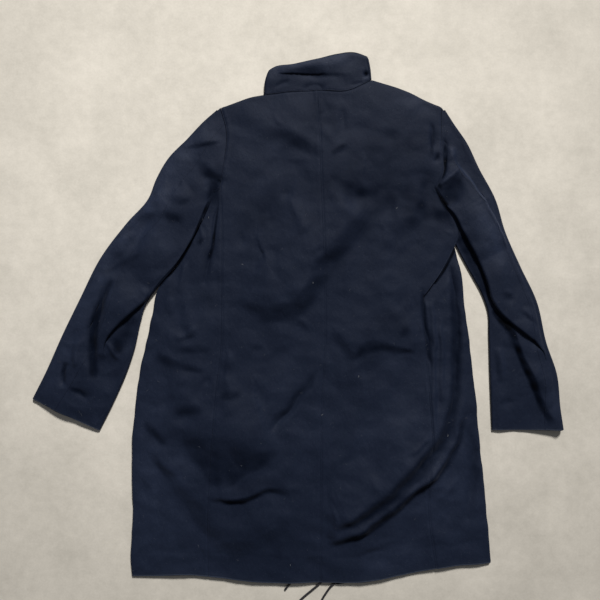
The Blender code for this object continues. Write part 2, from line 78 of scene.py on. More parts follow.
Rows2 = tuple[tuple[float, float], ...]
Row4 = tuple[float, float, float, float]
Rows4 = tuple[Row4, ...]
Points = Rows2 | Rows4 | np.ndarray
Amount = float | np.ndarray
Wire = bpy.types.Node | bpy.types.NodeSocket | float | tuple[float, ...]

# Seams, from the hem up
CENTRE_BACK: Rows2 = ((42,-489), (43,-271), (45,-156), (50,-60), (51,5), (47,160), (42,300), (38,421))
LEFT_SIDE_BACK: Rows2 = (
    (-164,-478), (-164,-384), (-161,-300), (-153,-191), (-148,-125), (-141,-60),
    (-140,60), (-140,160), (-143,238),
)
RIGHT_SIDE_BACK: Rows2 = (
    (256,-463), (245,-384), (241,-308), (246,-225), (243,-156), (238,-82), (234,-6), (233,40),
)
RIGHT_SLIT: Rows2 = ((233,40), (250,63), (264,83), (278,108), (291,133))
RIGHT_FLAP: Rows2 = ((291,133), (298,152), (296,166), (288,184), (274,205), (262,228), (257,238))
HIDDEN_SIDE_BACK: Rows2 = ((233,40), (240,120), (250,236))
LEFT_ARMHOLE: Rows2 = ((-143,240), (-134,296), (-131,345), (-142,388))
RIGHT_ARMHOLE: Rows2 = ((257,239), (269,266), (268,305), (266,343), (266,389))

# Outlines of the body and of the hem, outermost points
LEFT_BODY_EDGE: Rows2 = (
    (-308,-478), (-309,-448), (-306,-389), (-306,-300), (-304,-197), (-294,-110), (-282,-53),
    (-270,-1), (-258,53), (-222,94), (-199,131), (-177,179), (-152,232),
)
RIGHT_BODY_EDGE: Rows2 = (
    (359,-453), (353,-395), (340,-262), (327,-120), (313,-3), (302,83), (293,132), (277,180),
    (258,234),
)
LEFT_SIDE_HEM: Rows2 = ((-308,-478), (-258,-477), (-210,-475), (-164,-478))
LEFT_HEM: Rows2 = ((-164,-478), (-130,-482), (-64,-489), (42,-489))
RIGHT_HEM: Rows2 = ((42,-489), (116,-488), (193,-475), (256,-463))
RIGHT_SIDE_HEM: Rows2 = ((256,-463), (293,-458), (321,-456), (359,-453))
LEFT_SHOULDER: Rows2 = ((-142,388), (-125,394), (-93,406), (-63,412))
RIGHT_SHOULDER: Rows2 = ((266,389), (245,398), (208,416), (183,426), (138,440))
LEFT_NECK: Rows2 = ((-63,412), (-25,416), (38,421))
RIGHT_NECK: Rows2 = ((38,421), (95,420), (138,440))

# Collar stand
COLLAR_LEFT: Rows2 = ((-63,412), (-60,440), (-55,456))
COLLAR_RIGHT: Rows2 = ((138,440), (135,462), (131,482))
COLLAR_TOP_LEFT: Rows2 = ((-55,456), (-42,464), (-8,468), (38,478))
COLLAR_TOP_RIGHT: Rows2 = ((38,478), (75,487), (105,490), (131,482))

# Hidden hem lines and laps of the two fronts
LEFT_FRONT_HEM: Rows2 = ((-222,-473), (-130,-476), (-60,-479), (20,-478), (88,-478))
RIGHT_FRONT_HEM: Rows2 = ((-3,-478), (58,-478), (63,-490), (100,-490), (190,-473), (280,-456))

# Sleeve outlines, from the armhole to the cuff, outermost points
LEFT_OUTER: Rows2 = (
    (-149,385), (-174,363), (-205,330), (-239,295), (-262,255), (-275,222), (-315,176),
    (-364,111), (-403,34), (-436,-34), (-466,-101), (-491,-150),
)
LEFT_INNER: Rows2 = (
    (-152,234), (-164,216), (-179,179), (-201,131), (-224,94), (-262,50), (-282,20),
    (-290,-8), (-301,-58), (-317,-105), (-340,-157), (-366,-209),
)
LEFT_CUFF: Rows2 = ((-366,-209), (-391,-197), (-446,-175), (-491,-150))
RIGHT_OUTER: Rows2 = (
    (273,385), (291,357), (313,325), (336,277), (367,218), (384,161), (412,96), (443,29),
    (460,-45), (480,-106), (486,-169), (491,-206),
)
RIGHT_INNER: Rows2 = (
    (258,235), (277,180), (294,132), (312,97), (326,72), (341,44), (352,12), (354,-35),
    (356,-106), (358,-160), (360,-208),
)
RIGHT_CUFF: Rows2 = ((360,-208), (428,-208), (491,-206))


def unit(vectors: np.ndarray) -> np.ndarray:
    """Vectors scaled to length 1 along the last axis."""
    return vectors / np.maximum(np.linalg.norm(vectors, axis=-1, keepdims=True), 1e-9)


def eased(share: np.ndarray) -> np.ndarray:
    """A smooth step from 0 to 1 as the share does."""
    share = np.clip(share, 0, 1)
    return share * share * (3 - 2 * share)


def faded(along: np.ndarray, ends: float) -> np.ndarray:
    """1 along a line, going to 0 at its two ends.

    Args:
        along: places along the line, from 0 to 1.
        ends: the share of the line over which each end fades.

    Returns:
        The strength at each place.
    """
    return eased(np.minimum(along, 1 - along) / ends)


def smooth_line(points: Points, count: int) -> np.ndarray:
    """Even points along a smooth curve through the given ones.

    Args:
        points: rows that start with x and y. Further columns are carried along.
        count: how many points to give back.

    Returns:
        The points, one row each.
    """
    knots = np.array(points, float)
    chord = np.concatenate([[0], np.cumsum(np.linalg.norm(np.diff(knots[:, :2], axis=0), axis=1))])
    if len(knots) > 2:
        slopes = np.gradient(knots, chord, axis=0)
    else:
        slopes = np.tile((knots[1] - knots[0]) / chord[-1], (2, 1))
    at = np.linspace(0, chord[-1], CURVE_SAMPLES * len(knots))
    span = np.clip(np.searchsorted(chord, at, side="right") - 1, 0, len(knots) - 2)
    step = (chord[span + 1] - chord[span])[:, None]
    t = (at - chord[span])[:, None] / step
    start = (2 * t**3 - 3 * t**2 + 1) * knots[span] + (t**3 - 2 * t**2 + t) * step * slopes[span]
    end = (3 * t**2 - 2 * t**3) * knots[span + 1] + (t**3 - t**2) * step * slopes[span + 1]
    line = start + end
    run = np.concatenate([[0], np.cumsum(np.linalg.norm(np.diff(line[:, :2], axis=0), axis=1))])
    even = np.linspace(0, run[-1], count)
    return np.column_stack([np.interp(even, run, line[:, axis]) for axis in range(line.shape[1])])


def length_of(points: Points) -> float:
    """Length of the smooth curve through the given points, in their own unit."""
    line = smooth_line(points, CURVE_SAMPLES * len(points))
    return float(np.linalg.norm(np.diff(line[:, :2], axis=0), axis=1).sum())


def chain(*sections: tuple[Points, int]) -> np.ndarray:
    """Smooth lines end to end: each section is its points and its count, and shares its first point."""
    lines = [smooth_line(points, count) for points, count in sections]
    return np.concatenate([lines[0]] + [line[1:] for line in lines[1:]])


def moved_in(line: np.ndarray, side: int, distance: Amount) -> np.ndarray:
    """A line in plan moved sideways.

    Args:
        line: points in plan.
        side: 1 moves it to the left of its direction, and -1 to the right.
        distance: one distance, or one for each point.

    Returns:
        The moved points.
    """
    along = unit(np.gradient(line, axis=0))
    left = np.column_stack([-along[:, 1], along[:, 0]])
    return line + side * np.reshape(distance, (-1, 1)) * left


def plan_patch(bottom: np.ndarray, top: np.ndarray, left: np.ndarray, right: np.ndarray) -> np.ndarray:
    """A grid of plan points blended from its four edges.

    Args:
        bottom: the first row.
        top: the last row.
        left: the first column.
        right: the last column.

    Returns:
        The points by row and column.
    """
    v = np.linspace(0, 1, len(left))[:, None, None]
    u = np.linspace(0, 1, len(bottom))[None, :, None]
    ruled = (1 - v) * bottom[None] + v * top[None] + (1 - u) * left[:, None] + u * right[:, None]
    low = (1 - v) * ((1 - u) * bottom[0] + u * bottom[-1])
    high = v * ((1 - u) * top[0] + u * top[-1])
    return ruled - low - high


def near_place(line: np.ndarray, plan: np.ndarray) -> np.ndarray:
    """Place along a line near each point in plan, averaged so that it never jumps.

    Args:
        line: the line's points.
        plan: points in plan, one row each.

    Returns:
        One place for each point, from 0 to 1.
    """
    away = np.linalg.norm(plan[:, None, :] - line, axis=-1)
    nearest = away.min(1, keepdims=True)
    weights = np.exp(-(((away - nearest) / (3 + 0.3 * nearest)) ** 2))
    return (weights @ np.linspace(0, 1, len(line))) / weights.sum(1)


def nearest_on(line: np.ndarray, plan: np.ndarray) -> tuple[np.ndarray, np.ndarray, np.ndarray]:
    """Where points in plan lie beside a line.

    Args:
        line: the line's points.
        plan: points in plan, one row each.

    Returns:
        The signed distance, positive on the line's left; the place along it, counted in its segments; and
        the unit vector to the line's left at that place.
    """
    starts, runs = line[:-1], np.diff(line, axis=0)
    away = plan[:, None, :] - starts
    share = np.clip((away * runs).sum(-1) / (runs**2).sum(-1), 0, 1)
    gap = away - share[..., None] * runs
    best = (gap**2).sum(-1).argmin(-1)
    pick = np.arange(len(plan))
    along = unit(runs)
    nodes = np.concatenate([along[:1], (along[:-1] + along[1:]) / 2, along[-1:]])
    near_share = share[pick, best]
    tangent = unit(nodes[best] * (1 - near_share[:, None]) + nodes[best + 1] * near_share[:, None])
    left = np.column_stack([-tangent[:, 1], tangent[:, 0]])
    nearest = gap[pick, best]
    distance = np.linalg.norm(nearest, axis=-1)
    side = np.sign(runs[best, 0] * away[pick, best, 1] - runs[best, 1] * away[pick, best, 0])
    return side * distance, best + near_share, left


def within(plan: np.ndarray, line: np.ndarray, reach: float) -> np.ndarray:
    """Which points in plan lie in the box round a line, widened by a reach."""
    return ((plan > line.min(0) - reach) & (plan < line.max(0) + reach)).all(1)


class Section(Enum):
    """Cross-sections that a fold can have."""

    SOFT = "a round ridge or trough"
    CREASE = "a sharp bottom or crest with soft shoulders"
    STEP = "the left side stands higher than the right, and comes down again further off"
    BAND = "level across, with quick sides"


@dataclass(frozen=True)
class Fold:
    """A crease, trough, ridge or step of the cloth along a line.

    Attributes:
        line: rows of x, y, half width and height above or below the cloth.
        section: the cross-section.
        lean: how much wider the left side is than the right, from -1 to 1.
        run: how far a step's high side reaches before it has come down.
        fade: the share of the length over which each end dies away.
    """

    line: Rows4
    section: Section = Section.SOFT
    lean: float = 0.0
    run: float = 60.0
    fade: float = 0.22

    # half widths that a fold reaches, and how far down a step's high side comes, as a share of its run
    REACH = 3.4
    BACK = 1.6

    def heights(self, plan: np.ndarray) -> np.ndarray:
        """Height that the fold adds.

        Args:
            plan: points in plan, one row each.

        Returns:
            One height for each point.
        """
        rows = smooth_line(self.line, LINE_SAMPLES)
        line, widths, levels = rows[:, :2], rows[:, 2], rows[:, 3]
        stepped = self.section is Section.STEP
        back_run = self.BACK * self.run
        reach = self.REACH * widths.max() * (1 + abs(self.lean))
        if stepped:
            reach = max(reach, back_run + widths.max() + 1)
        near = within(plan, line, reach)
        total = np.zeros(len(plan))
        if not near.any():
            return total
        away, at, _ = nearest_on(line, plan[near])
        at = at / (LINE_SAMPLES - 1)
        place = near_place(line, plan[near])
        steps = np.linspace(0, 1, LINE_SAMPLES)
        width = np.interp(place, steps, widths) * (1 + self.lean * np.tanh(away / widths.mean()))
        height = np.interp(place, steps, levels)
        length = np.linalg.norm(np.diff(line, axis=0), axis=1).sum()
        if stepped:
            ends = np.clip(0.55 * self.run / length, self.fade, 0.5)
            end = np.clip(1 - np.minimum(at, 1 - at) / ends, 0, 1)
            back = np.maximum(away - width, 0) / back_run
            shape = eased((away + width) / (2 * width)) * np.maximum(1 - end**2 - back**2, 0) ** 2
        else:
            height = height * faded(at, np.clip(2.2 * widths.mean() / length, self.fade, 0.5))
            shape = np.exp(-(np.abs(away / width) ** (4 if self.section is Section.BAND else 2)))
        if self.section is Section.CREASE:
            tip = 0.22 * width
            shape = np.exp(-(np.hypot(away, tip) - tip) / (0.62 * width))
        total[near] = height * shape
        return total


def soft(*rows: Row4, lean: float = 0.0, fade: float = 0.22) -> Fold:
    """A round ridge or trough along rows of x, y, half width and height."""
    return Fold(rows, Section.SOFT, lean, fade=fade)


def crease(*rows: Row4, fade: float = 0.22) -> Fold:
    """A sharp crease along rows of x, y, half width and height."""
    return Fold(rows, Section.CREASE, fade=fade)


def band(*rows: Row4, fade: float = 0.22) -> Fold:
    """A level strip with quick sides along rows of x, y, half width and height."""
    return Fold(rows, Section.BAND, fade=fade)


def step(run: float, *rows: Row4, fade: float = 0.22) -> Fold:
    """A step whose high side comes down within a run, along rows of x, y, half width and height."""
    return Fold(rows, Section.STEP, run=run, fade=fade)


@dataclass(frozen=True)
class Roll:
    """An edge where the cloth turns up and over itself, so that its high side overhangs its low side.

    Attributes:
        line: rows of x, y, height, and half the width of plan that the turn takes. The high side is on
            the line's left, and the line is where the overhanging edge shows.
        run: how far the high side reaches before it has come down.
        fade: the share of the length over which each end dies away.
    """

    line: Rows4
    run: float = 70.0
    fade: float = 0.1

    # gap under the overhanging edge
    GAP = 1.5

    def offsets(self, plan: np.ndarray) -> np.ndarray:
        """How far the roll moves each point.

        Args:
            plan: points in plan, one row each.

        Returns:
            Moves in x, y and z, one row for each point.
        """
        line = smooth_line(self.line, 2 * LINE_SAMPLES)
        steps = np.arange(len(line))
        away, at, left = nearest_on(line[:, :2], plan)
        strength = faded(at / steps[-1], self.fade)
        height = np.interp(at, steps, line[:, 2]) * strength
        band = np.interp(at, steps, line[:, 3])
        turn = np.minimum(self.GAP, height / 4) + 1e-6
        nose = height / 2 - turn + 1e-6
        whole = 2 * band + np.pi * (turn + nose)
        s = (np.clip(away / band, -1, 1) + 1) / 2 * whole
        ends = np.stack([band + nose, np.pi * turn, np.pi * nose]).cumsum(0)
        psi = np.clip((s - ends[0]) / turn, 0, np.pi)
        phi = np.clip((s - ends[1]) / np.maximum(nose, 1e-9), 0, np.pi)
        across = np.where(s < ends[0], s - band, nose)
        across = np.where((s >= ends[0]) & (s < ends[1]), nose + turn * np.sin(psi), across)
        across = np.where((s >= ends[1]) & (s < ends[2]), nose - nose * np.sin(phi), across)
        across = np.where(s >= ends[2], nose + s - ends[2], across)
        up = turn * (1 - np.cos(psi)) + nose * (1 - np.cos(phi))
        behind = np.maximum(away - band, 0)
        length = np.linalg.norm(np.diff(line[:, :2], axis=0), axis=1).sum()
        long = np.clip(0.9 * self.run / length, self.fade, 0.5)
        hill = 1 - np.exp(-((behind / 12) ** 2)) * np.ones(len(plan))
        up = up * np.exp(-((behind / self.run) ** 2)) * (1 - hill + hill * faded(at / steps[-1], long))
        inside = np.abs(away) < band
        sideways = np.where(inside, across - away, 0)
        past_end = np.where((at <= 0) | (at >= steps[-1]), 0.0, 1.0)
        return np.column_stack([left * (sideways * past_end)[:, None], up * past_end])


@dataclass(frozen=True)
class Seam:
    """A plain seam, pressed open: a groove between two soft lines where the turned cloth lies under.

    Attributes:
        line: points in plan.
        groove: depth of the groove.
        shoulder: height of the soft line on each side.
        allowance: width of the turned cloth on each side.
    """

    line: Rows2
    groove: float = 0.9
    shoulder: float = 0.3
    allowance: float = 8.0

    def heights(self, plan: np.ndarray) -> np.ndarray:
        """Height that the seam adds.

        Args:
            plan: points in plan, one row each.

        Returns:
            One height for each point.
        """
        line = smooth_line(self.line, 2 * LINE_SAMPLES)
        near = within(plan, line, 4 * self.allowance)
        total = np.zeros(len(plan))
        if near.any():
            away, at, _ = nearest_on(line, plan[near])
            puckers = 1 + 0.35 * np.sin(at * 2.1) * np.sin(at * 0.37 + 1)
            lines = self.shoulder * puckers * np.exp(-(((np.abs(away) - 0.55 * self.allowance) / 3.2) ** 2))
            total[near] = lines - self.groove * np.exp(-((away / 1.9) ** 2))
        return total


def ripple(plan: np.ndarray, wavelength: float, height: float, seed: int, waves: int = 36) -> np.ndarray:
    """A soft uneven surface made of many small waves.

    Args:
        plan: points in plan, one row each.
        wavelength: the usual distance between crests.
        height: the usual height of a crest.
        seed: fixes the draw.
        waves: how many waves are added.

    Returns:
        One height for each point.
    """
    draw = np.random.default_rng(seed)
    turns = draw.uniform(0, 2 * np.pi, waves)
    lengths = wavelength * draw.uniform(0.7, 1.6, waves)
    phases = draw.uniform(0, 2 * np.pi, waves)
    total = np.zeros(len(plan))
    for turn, length, phase in zip(turns, lengths, phases):
        across = plan[:, 0] * np.cos(turn) + plan[:, 1] * np.sin(turn)
        total += np.cos(2 * np.pi * across / length + phase)
    return height * total / np.sqrt(waves / 2)


def wandered(plan: np.ndarray, seed: int) -> np.ndarray:
    """Points in plan moved a little, so that a line drawn through them wanders as a crease does.

    Args:
        plan: points in plan, one row each.
        seed: fixes the draw.

    Returns:
        The moved points.
    """
    across = ripple(plan, 52, 1.6, seed) + ripple(plan, 20, 0.25, seed + 1)
    along = ripple(plan, 52, 1.6, seed + 2) + ripple(plan, 20, 0.25, seed + 3)
    return plan + np.column_stack([across, along])


@dataclass(frozen=True)
class Drape:
    """How one stretch of cloth lies: its folds, rolled edges, seams and small unevenness.

    Attributes:
        folds: creases, troughs, ridges and steps.
        rolls: edges that overhang.
        seams: plain seams.
        seed: fixes the draw of the small unevenness.
    """

    folds: tuple[Fold, ...]
    rolls: tuple[Roll, ...] = ()
    seams: tuple[Seam, ...] = ()
    seed: int = 11

    # wavelength and height of the small unevenness
    WAVES = ((95, 0.8), (34, 0.26), (15, 0.045))

    def heights(self, plan: np.ndarray) -> np.ndarray:
        """Height over the cloth's layer, rolls left out.

        Args:
            plan: points in plan, one row each.

        Returns:
            One height for each point.
        """
        total = np.zeros(len(plan))
        for extra, (wavelength, height) in enumerate(self.WAVES):
            total += ripple(plan, wavelength, height, self.seed + extra)
        total += 0.5 * np.abs(ripple(plan, 90, 1, self.seed + 3))
        total -= 0.4 * np.abs(ripple(plan, 60, 1, self.seed + 4))
        loose = wandered(plan, self.seed + 5)
        uneven = 1 + 0.1 * ripple(plan, 160, 1, self.seed + 9)
        for fold in self.folds:
            total += uneven * fold.heights(loose)
        for seam in self.seams:
            total += seam.heights(plan)
        return total

    def place(self, plan: np.ndarray, layer: Amount, strength: Amount = 1.0,
              lowest: float = TUCKED_LAYER) -> np.ndarray:
        """Points of the cloth's middle surface.

        Args:
            plan: grid of plan points.
            layer: height of the flat cloth, one value or one for each point.
            strength: how much of the drape shows, one value or one for each point.
            lowest: the middle surface comes no lower than this.

        Returns:
            Grid of points in three dimensions.
        """
        flat = plan.reshape(-1, 2)
        shape = plan.shape[:-1]
        height = layer + strength * self.heights(flat).reshape(shape)
        points = np.dstack([plan, np.maximum(height, lowest)])
        for roll in self.rolls:
            moves = roll.offsets(flat).reshape(shape + (3,))
            points = points + moves * np.asarray(strength)[..., None]
        return points


def even_columns(points: np.ndarray, count: int, turn_weight: float = 5.0) -> np.ndarray:
    """Columns spaced again so that they are even along the cloth and closer where it bends.

    Args:
        points: grid of points with many columns.
        count: how many columns to keep.
        turn_weight: the length that a bend of one radian counts as.

    Returns:
        Grid with count columns.
    """
    steps = np.diff(points, axis=1)
    runs = np.linalg.norm(steps, axis=-1)
    along = unit(steps)
    bends = np.arccos(np.clip((along[:, :-1] * along[:, 1:]).sum(-1), -1, 1))
    measure = runs.copy()
    measure[:, 1:] += turn_weight * bends
    place = np.concatenate([np.zeros((len(points), 1)), np.cumsum(measure, axis=1)], axis=1)
    place /= place[:, -1:]
    source = np.arange(points.shape[1], dtype=float)
    wanted = np.linspace(0, 1, count)
    at = np.stack([np.interp(wanted, row, source) for row in place])
    window = np.hanning(11)[1:-1]
    window /= window.sum()
    padded = np.pad(at, ((4, 4), (0, 0)), mode="edge")
    at = np.stack([np.convolve(padded[:, c], window, mode="valid") for c in range(count)], axis=1)
    low = np.clip(at.astype(int), 0, len(source) - 2)
    share = (at - low)[..., None]
    rows = np.arange(len(points))[:, None]
    return points[rows, low] * (1 - share) + points[rows, low + 1] * share


def turned_edge(edge: np.ndarray, outward: np.ndarray, count: int) -> np.ndarray:
    """The half round fold between a top layer's edge and the floor layer, without its end columns.

    Args:
        edge: the top layer's edge points.
        outward: unit vectors in plan, away from the cloth.
        count: how many columns the fold has.

    Returns:
        Grid of points with count columns.
    """
    radius = (edge[:, 2] - FLOOR_LAYER) / 2
    angles = np.linspace(np.pi / 2, -np.pi / 2, count + 2)[1:-1]
    centre = np.column_stack([edge[:, :2], FLOOR_LAYER + radius])
    out = outward[:, None] * np.cos(angles)[None, :, None]
    up = np.tile(np.sin(angles), (len(edge), 1))[..., None]
    return centre[:, None] + radius[:, None, None] * np.concatenate([out, up], axis=-1)


def outward_of(line: np.ndarray, side: int) -> np.ndarray:
    """Unit vectors in plan across a line: side 1 is to the left of its direction, and -1 to the right."""
    return moved_in(line, side, 1.0) - line


def edges_of(grid: np.ndarray) -> tuple[tuple[np.ndarray, np.ndarray], ...]:
    """A grid's first row, last row, first column and last column, each with the line beside it."""
    turned = grid.swapaxes(0, 1)
    return (grid[0], grid[1]), (grid[-1], grid[-2]), (turned[0], turned[1]), (turned[-1], turned[-2])


def drawn_in(points: np.ndarray, chosen: tuple[bool, bool, bool, bool],
             gap: float = SEAM_GAP / 2) -> np.ndarray:
    """Moves some edges of a grid inwards.

    Args:
        points: grid of points.
        chosen: whether to move the first row, last row, first column and last column.
        gap: how far to move them.

    Returns:
        The changed grid.
    """
    points = points.copy()
    for wanted, (edge, inner) in zip(chosen, edges_of(points)):
        if wanted:
            edge += gap * unit(inner - edge)
    return points


def closed_mesh(name: str, points: np.ndarray, faces: list[list[int]]) -> bpy.types.Object:
    """A smooth mesh object, linked to the scene.

    Args:
        name: the object's name.
        points: its points, in mm.
        faces: its faces.

    Returns:
        The object.
    """
    mesh = bpy.data.meshes.new(name)
    mesh.from_pydata((points * MM).tolist(), [], faces)
    mesh.update()
    mesh.shade_smooth()
    piece = bpy.data.objects.new(name, mesh)
    bpy.context.scene.collection.objects.link(piece)
    return piece


@dataclass(frozen=True)
class EdgeFinish:
    """How the cloth ends along the four edges of a piece.

    Attributes:
        bulge: how far each edge bulges: first row, last row, first column and last column. A seam edge is
            flat, and a folded or turned-up edge is round.
        hem_row: the row that the turned-up hem starts from.
        hem_depth: the hem's depth.
        hem_extra: the cloth that the hem adds inside.
        thinned: thickness at the edges, as a share of the wall.
        crisp: whether the side edges show as a line.
    """

    bulge: Row4 = (0.2, 0.2, 0.2, 0.2)
    hem_row: int = 0
    hem_depth: float = 0.0
    hem_extra: float = 1.9
    thinned: float = 0.55
    crisp: bool = False


def cloth_wall(name: str, points: np.ndarray, finish: EdgeFinish, flip: bool = False,
               nap: tuple[Fold, ...] = ()) -> bpy.types.Object:
    """A closed wall of cloth round a middle surface, with rounded edges and its wear, nap and painted light
    stored.

    Args:
        name: the piece's name.
        points: grid of points of the middle surface, in mm.
        finish: how the four edges end, and the turned-up hem.
        flip: turns the outside to the grid's other side.
        nap: painted shade and highlights, and the nap's paler or darker tone, in hundredths of the colour.

    Returns:
        The mesh object, linked to the scene.
    """
    rows, columns = points.shape[:2]
    normals = unit(np.cross(np.gradient(points, axis=1), np.gradient(points, axis=0)))
    if flip:
        normals = -normals
    taper = np.ones((rows, columns))
    for edge, _ in edges_of(taper):
        edge[:] = finish.thinned
    inner = np.full((rows, columns), HALF_WALL)
    if finish.hem_depth:
        from_hem = np.linalg.norm(points - points[finish.hem_row], axis=-1)
        inner += finish.hem_extra * eased((finish.hem_depth + 2 - from_hem) / 3)
    outside = points + normals * (HALF_WALL * taper)[..., None]
    inside = points - normals * (inner * taper)[..., None]
    edge_out = np.zeros_like(points)
    for bulge, (out, _), (edge, beside) in zip(finish.bulge, edges_of(edge_out), edges_of(points)):
        out += bulge * unit(edge - beside)
    index = np.arange(rows * columns).reshape(rows, columns)
    ring = np.concatenate([index[0], index[1:, -1], index[-1, -2::-1], index[-2:0:-1, 0]])
    rim = ((outside + inside) / 2 + edge_out).reshape(-1, 3)[ring]
    quads = np.stack([index[:-1, :-1], index[1:, :-1], index[1:, 1:], index[:-1, 1:]], axis=-1).reshape(-1, 4)
    if not flip:
        quads = quads[:, ::-1]
    count = rows * columns
    rim_ring = 2 * count + np.arange(len(ring))
    strips = []
    for upper, lower in ((ring, rim_ring), (rim_ring, ring + count)):
        strip = np.stack([upper, np.roll(upper, -1), np.roll(lower, -1), lower], axis=-1)
        strips.append(strip[:, ::-1] if flip else strip)
    faces = np.concatenate([quads, quads[:, ::-1] + count] + strips)
    points = np.concatenate([outside.reshape(-1, 3), inside.reshape(-1, 3), rim])
    piece = closed_mesh(name, points, faces.tolist())
    mesh = piece.data
    if finish.crisp:
        sides = np.zeros(len(points), bool)
        sides[index[:, [0, -1]]] = True
        ends = np.empty(2 * len(mesh.edges), dtype=np.int32)
        mesh.edges.foreach_get("vertices", ends)
        sharp = mesh.attributes.new("sharp_edge", "BOOLEAN", "EDGE")
        sharp.data.foreach_set("value", sides[ends.reshape(-1, 2)].all(1))
    wear = np.zeros((rows, columns))
    r, c = np.arange(rows)[:, None], np.arange(columns)[None, :]
    for bulge, from_edge in zip(finish.bulge, (r, r[::-1], c, c[:, ::-1])):
        if bulge > 0.5:
            wear = np.maximum(wear, np.exp(-from_edge / 1.2) * np.ones((rows, columns)))
    wear = wear.ravel()
    plan = points[:, :2]
    loose = wandered(plan, 31)
    # Painted shade in hollows, creases and crevices and painted highlights on ridges, mixed with the nap's
    # tone, stored for the wool to darken or pale its colour
    nap_and_painted_light = np.zeros(len(plan))
    for patch in nap:
        nap_and_painted_light += patch.heights(plan if patch.section is Section.BAND else loose)
    nap_and_painted_light = np.clip(0.01 * nap_and_painted_light * (1 + 0.13 * ripple(plan, 26, 1, 37)), -NAP_AND_PAINTED_LIGHT_LIMIT, NAP_AND_PAINTED_LIGHT_LIMIT)
    for attribute, data in (("rubbed", np.concatenate([wear, wear, wear[ring]])), ("nap_and_painted_light", nap_and_painted_light)):
        layer = mesh.attributes.new(attribute, "FLOAT", "POINT")
        layer.data.foreach_set("value", data.astype(np.float32))
    return piece


class NodeSheet:
    """A small helper that adds and links the nodes of one material."""

    def __init__(self, name: str) -> None:
        """Makes a node material with only its output and the object's coordinates.

        Args:
            name: the material's name.
        """
        self.material = bpy.data.materials.new(name)
        self.material.use_nodes = True
        self.tree = self.material.node_tree
        self.tree.nodes.clear()
        self.output = self.add("OutputMaterial")
        self.where = self.add("TexCoord").outputs["Object"]

    def add(self, kind: str, **values: Wire) -> bpy.types.Node:
        """Adds a node.

        Args:
            kind: the node's type, without its prefix.
            values: settings of the node, or what goes into its inputs by name with _ for a space.

        Returns:
            The new node.
        """
        node = self.tree.nodes.new("ShaderNode" + kind)
        for key, value in values.items():
            if hasattr(node, key):
                setattr(node, key, value)
            else:
                self.feed(node, key.replace("_", " "), value)
        return node

    def feed(self, node: bpy.types.Node, socket: str | int, value: Wire) -> None:
        """Puts something into an input.

        Args:
            node: the node with the input.
            socket: the input's name or number.
            value: numbers, an output, or a node that gives its colour or its first output.
        """
        if isinstance(value, bpy.types.Node):
            value = value.outputs[2 if value.bl_idname == "ShaderNodeMix" else 0]
        if isinstance(value, bpy.types.NodeSocket):
            self.tree.links.new(value, node.inputs[socket])
        else:
            node.inputs[socket].default_value = value

    def stored(self, name: str) -> bpy.types.NodeSocket:
        """The value of one of the mesh's own attributes."""
        return self.add("Attribute", attribute_name=name).outputs["Fac"]

    def noise(self, scale: tuple[float, float, float], turn: float, detail: float) -> bpy.types.Node:
        """A noise pattern on the object's own coordinates.

        Args:
            scale: cycles for each metre along the three axes.
            turn: rotation about Z, in radians.
            detail: how many finer layers it has.

        Returns:
            The noise node.
        """
        mapping = self.add("Mapping", Scale=scale, Rotation=(0, 0, turn), Vector=self.where)
        return self.add("TexNoise", Scale=1.0, Detail=detail, Roughness=0.6, Vector=mapping)

    def ranged(self, value: Wire, low: float, high: float, to_low: float, to_high: float) -> bpy.types.Node:
        """A Map Range node that brings a value from one range, low to high, to another."""
        return self.add("MapRange", Value=value, From_Min=low, From_Max=high, To_Min=to_low, To_Max=to_high)

    def maths(self, operation: str, first: Wire, second: Wire) -> bpy.types.Node:
        """A Math node.

        Args:
            operation: what it does.
            first: its first input.
            second: its second input.

        Returns:
            The node.
        """
        node = self.add("Math", operation=operation)
        self.feed(node, 0, first)
        self.feed(node, 1, second)
        return node

    def mixed(self, factor: Wire, first: Wire, second: Wire, blend: str = "MIX") -> bpy.types.Node:
        """A colour Mix node.

        Args:
            factor: the share of the second colour.
            first: the first colour.
            second: the second colour.
            blend: how they are put together.

        Returns:
            The node.
        """
        node = self.add("Mix", data_type="RGBA", blend_type=blend)
        for socket, value in ((0, factor), (6, first), (7, second)):
            self.feed(node, socket, value)
        return node

    def finished(self, height: Wire, strength: float, depth: float, **inputs: Wire) -> bpy.types.Material:
        """Ends the material with its surface.

        Args:
            height: what the relief follows.
            strength: how strong the relief is.
            depth: how deep it is, in metres.
            inputs: what goes into the surface's inputs, by name with _ for a space.

        Returns:
            The material.
        """
        bump = self.add("Bump", Strength=strength, Distance=depth, Height=height)
        self.feed(self.output, "Surface", self.add("BsdfPrincipled", Normal=bump, **inputs))
        return self.material


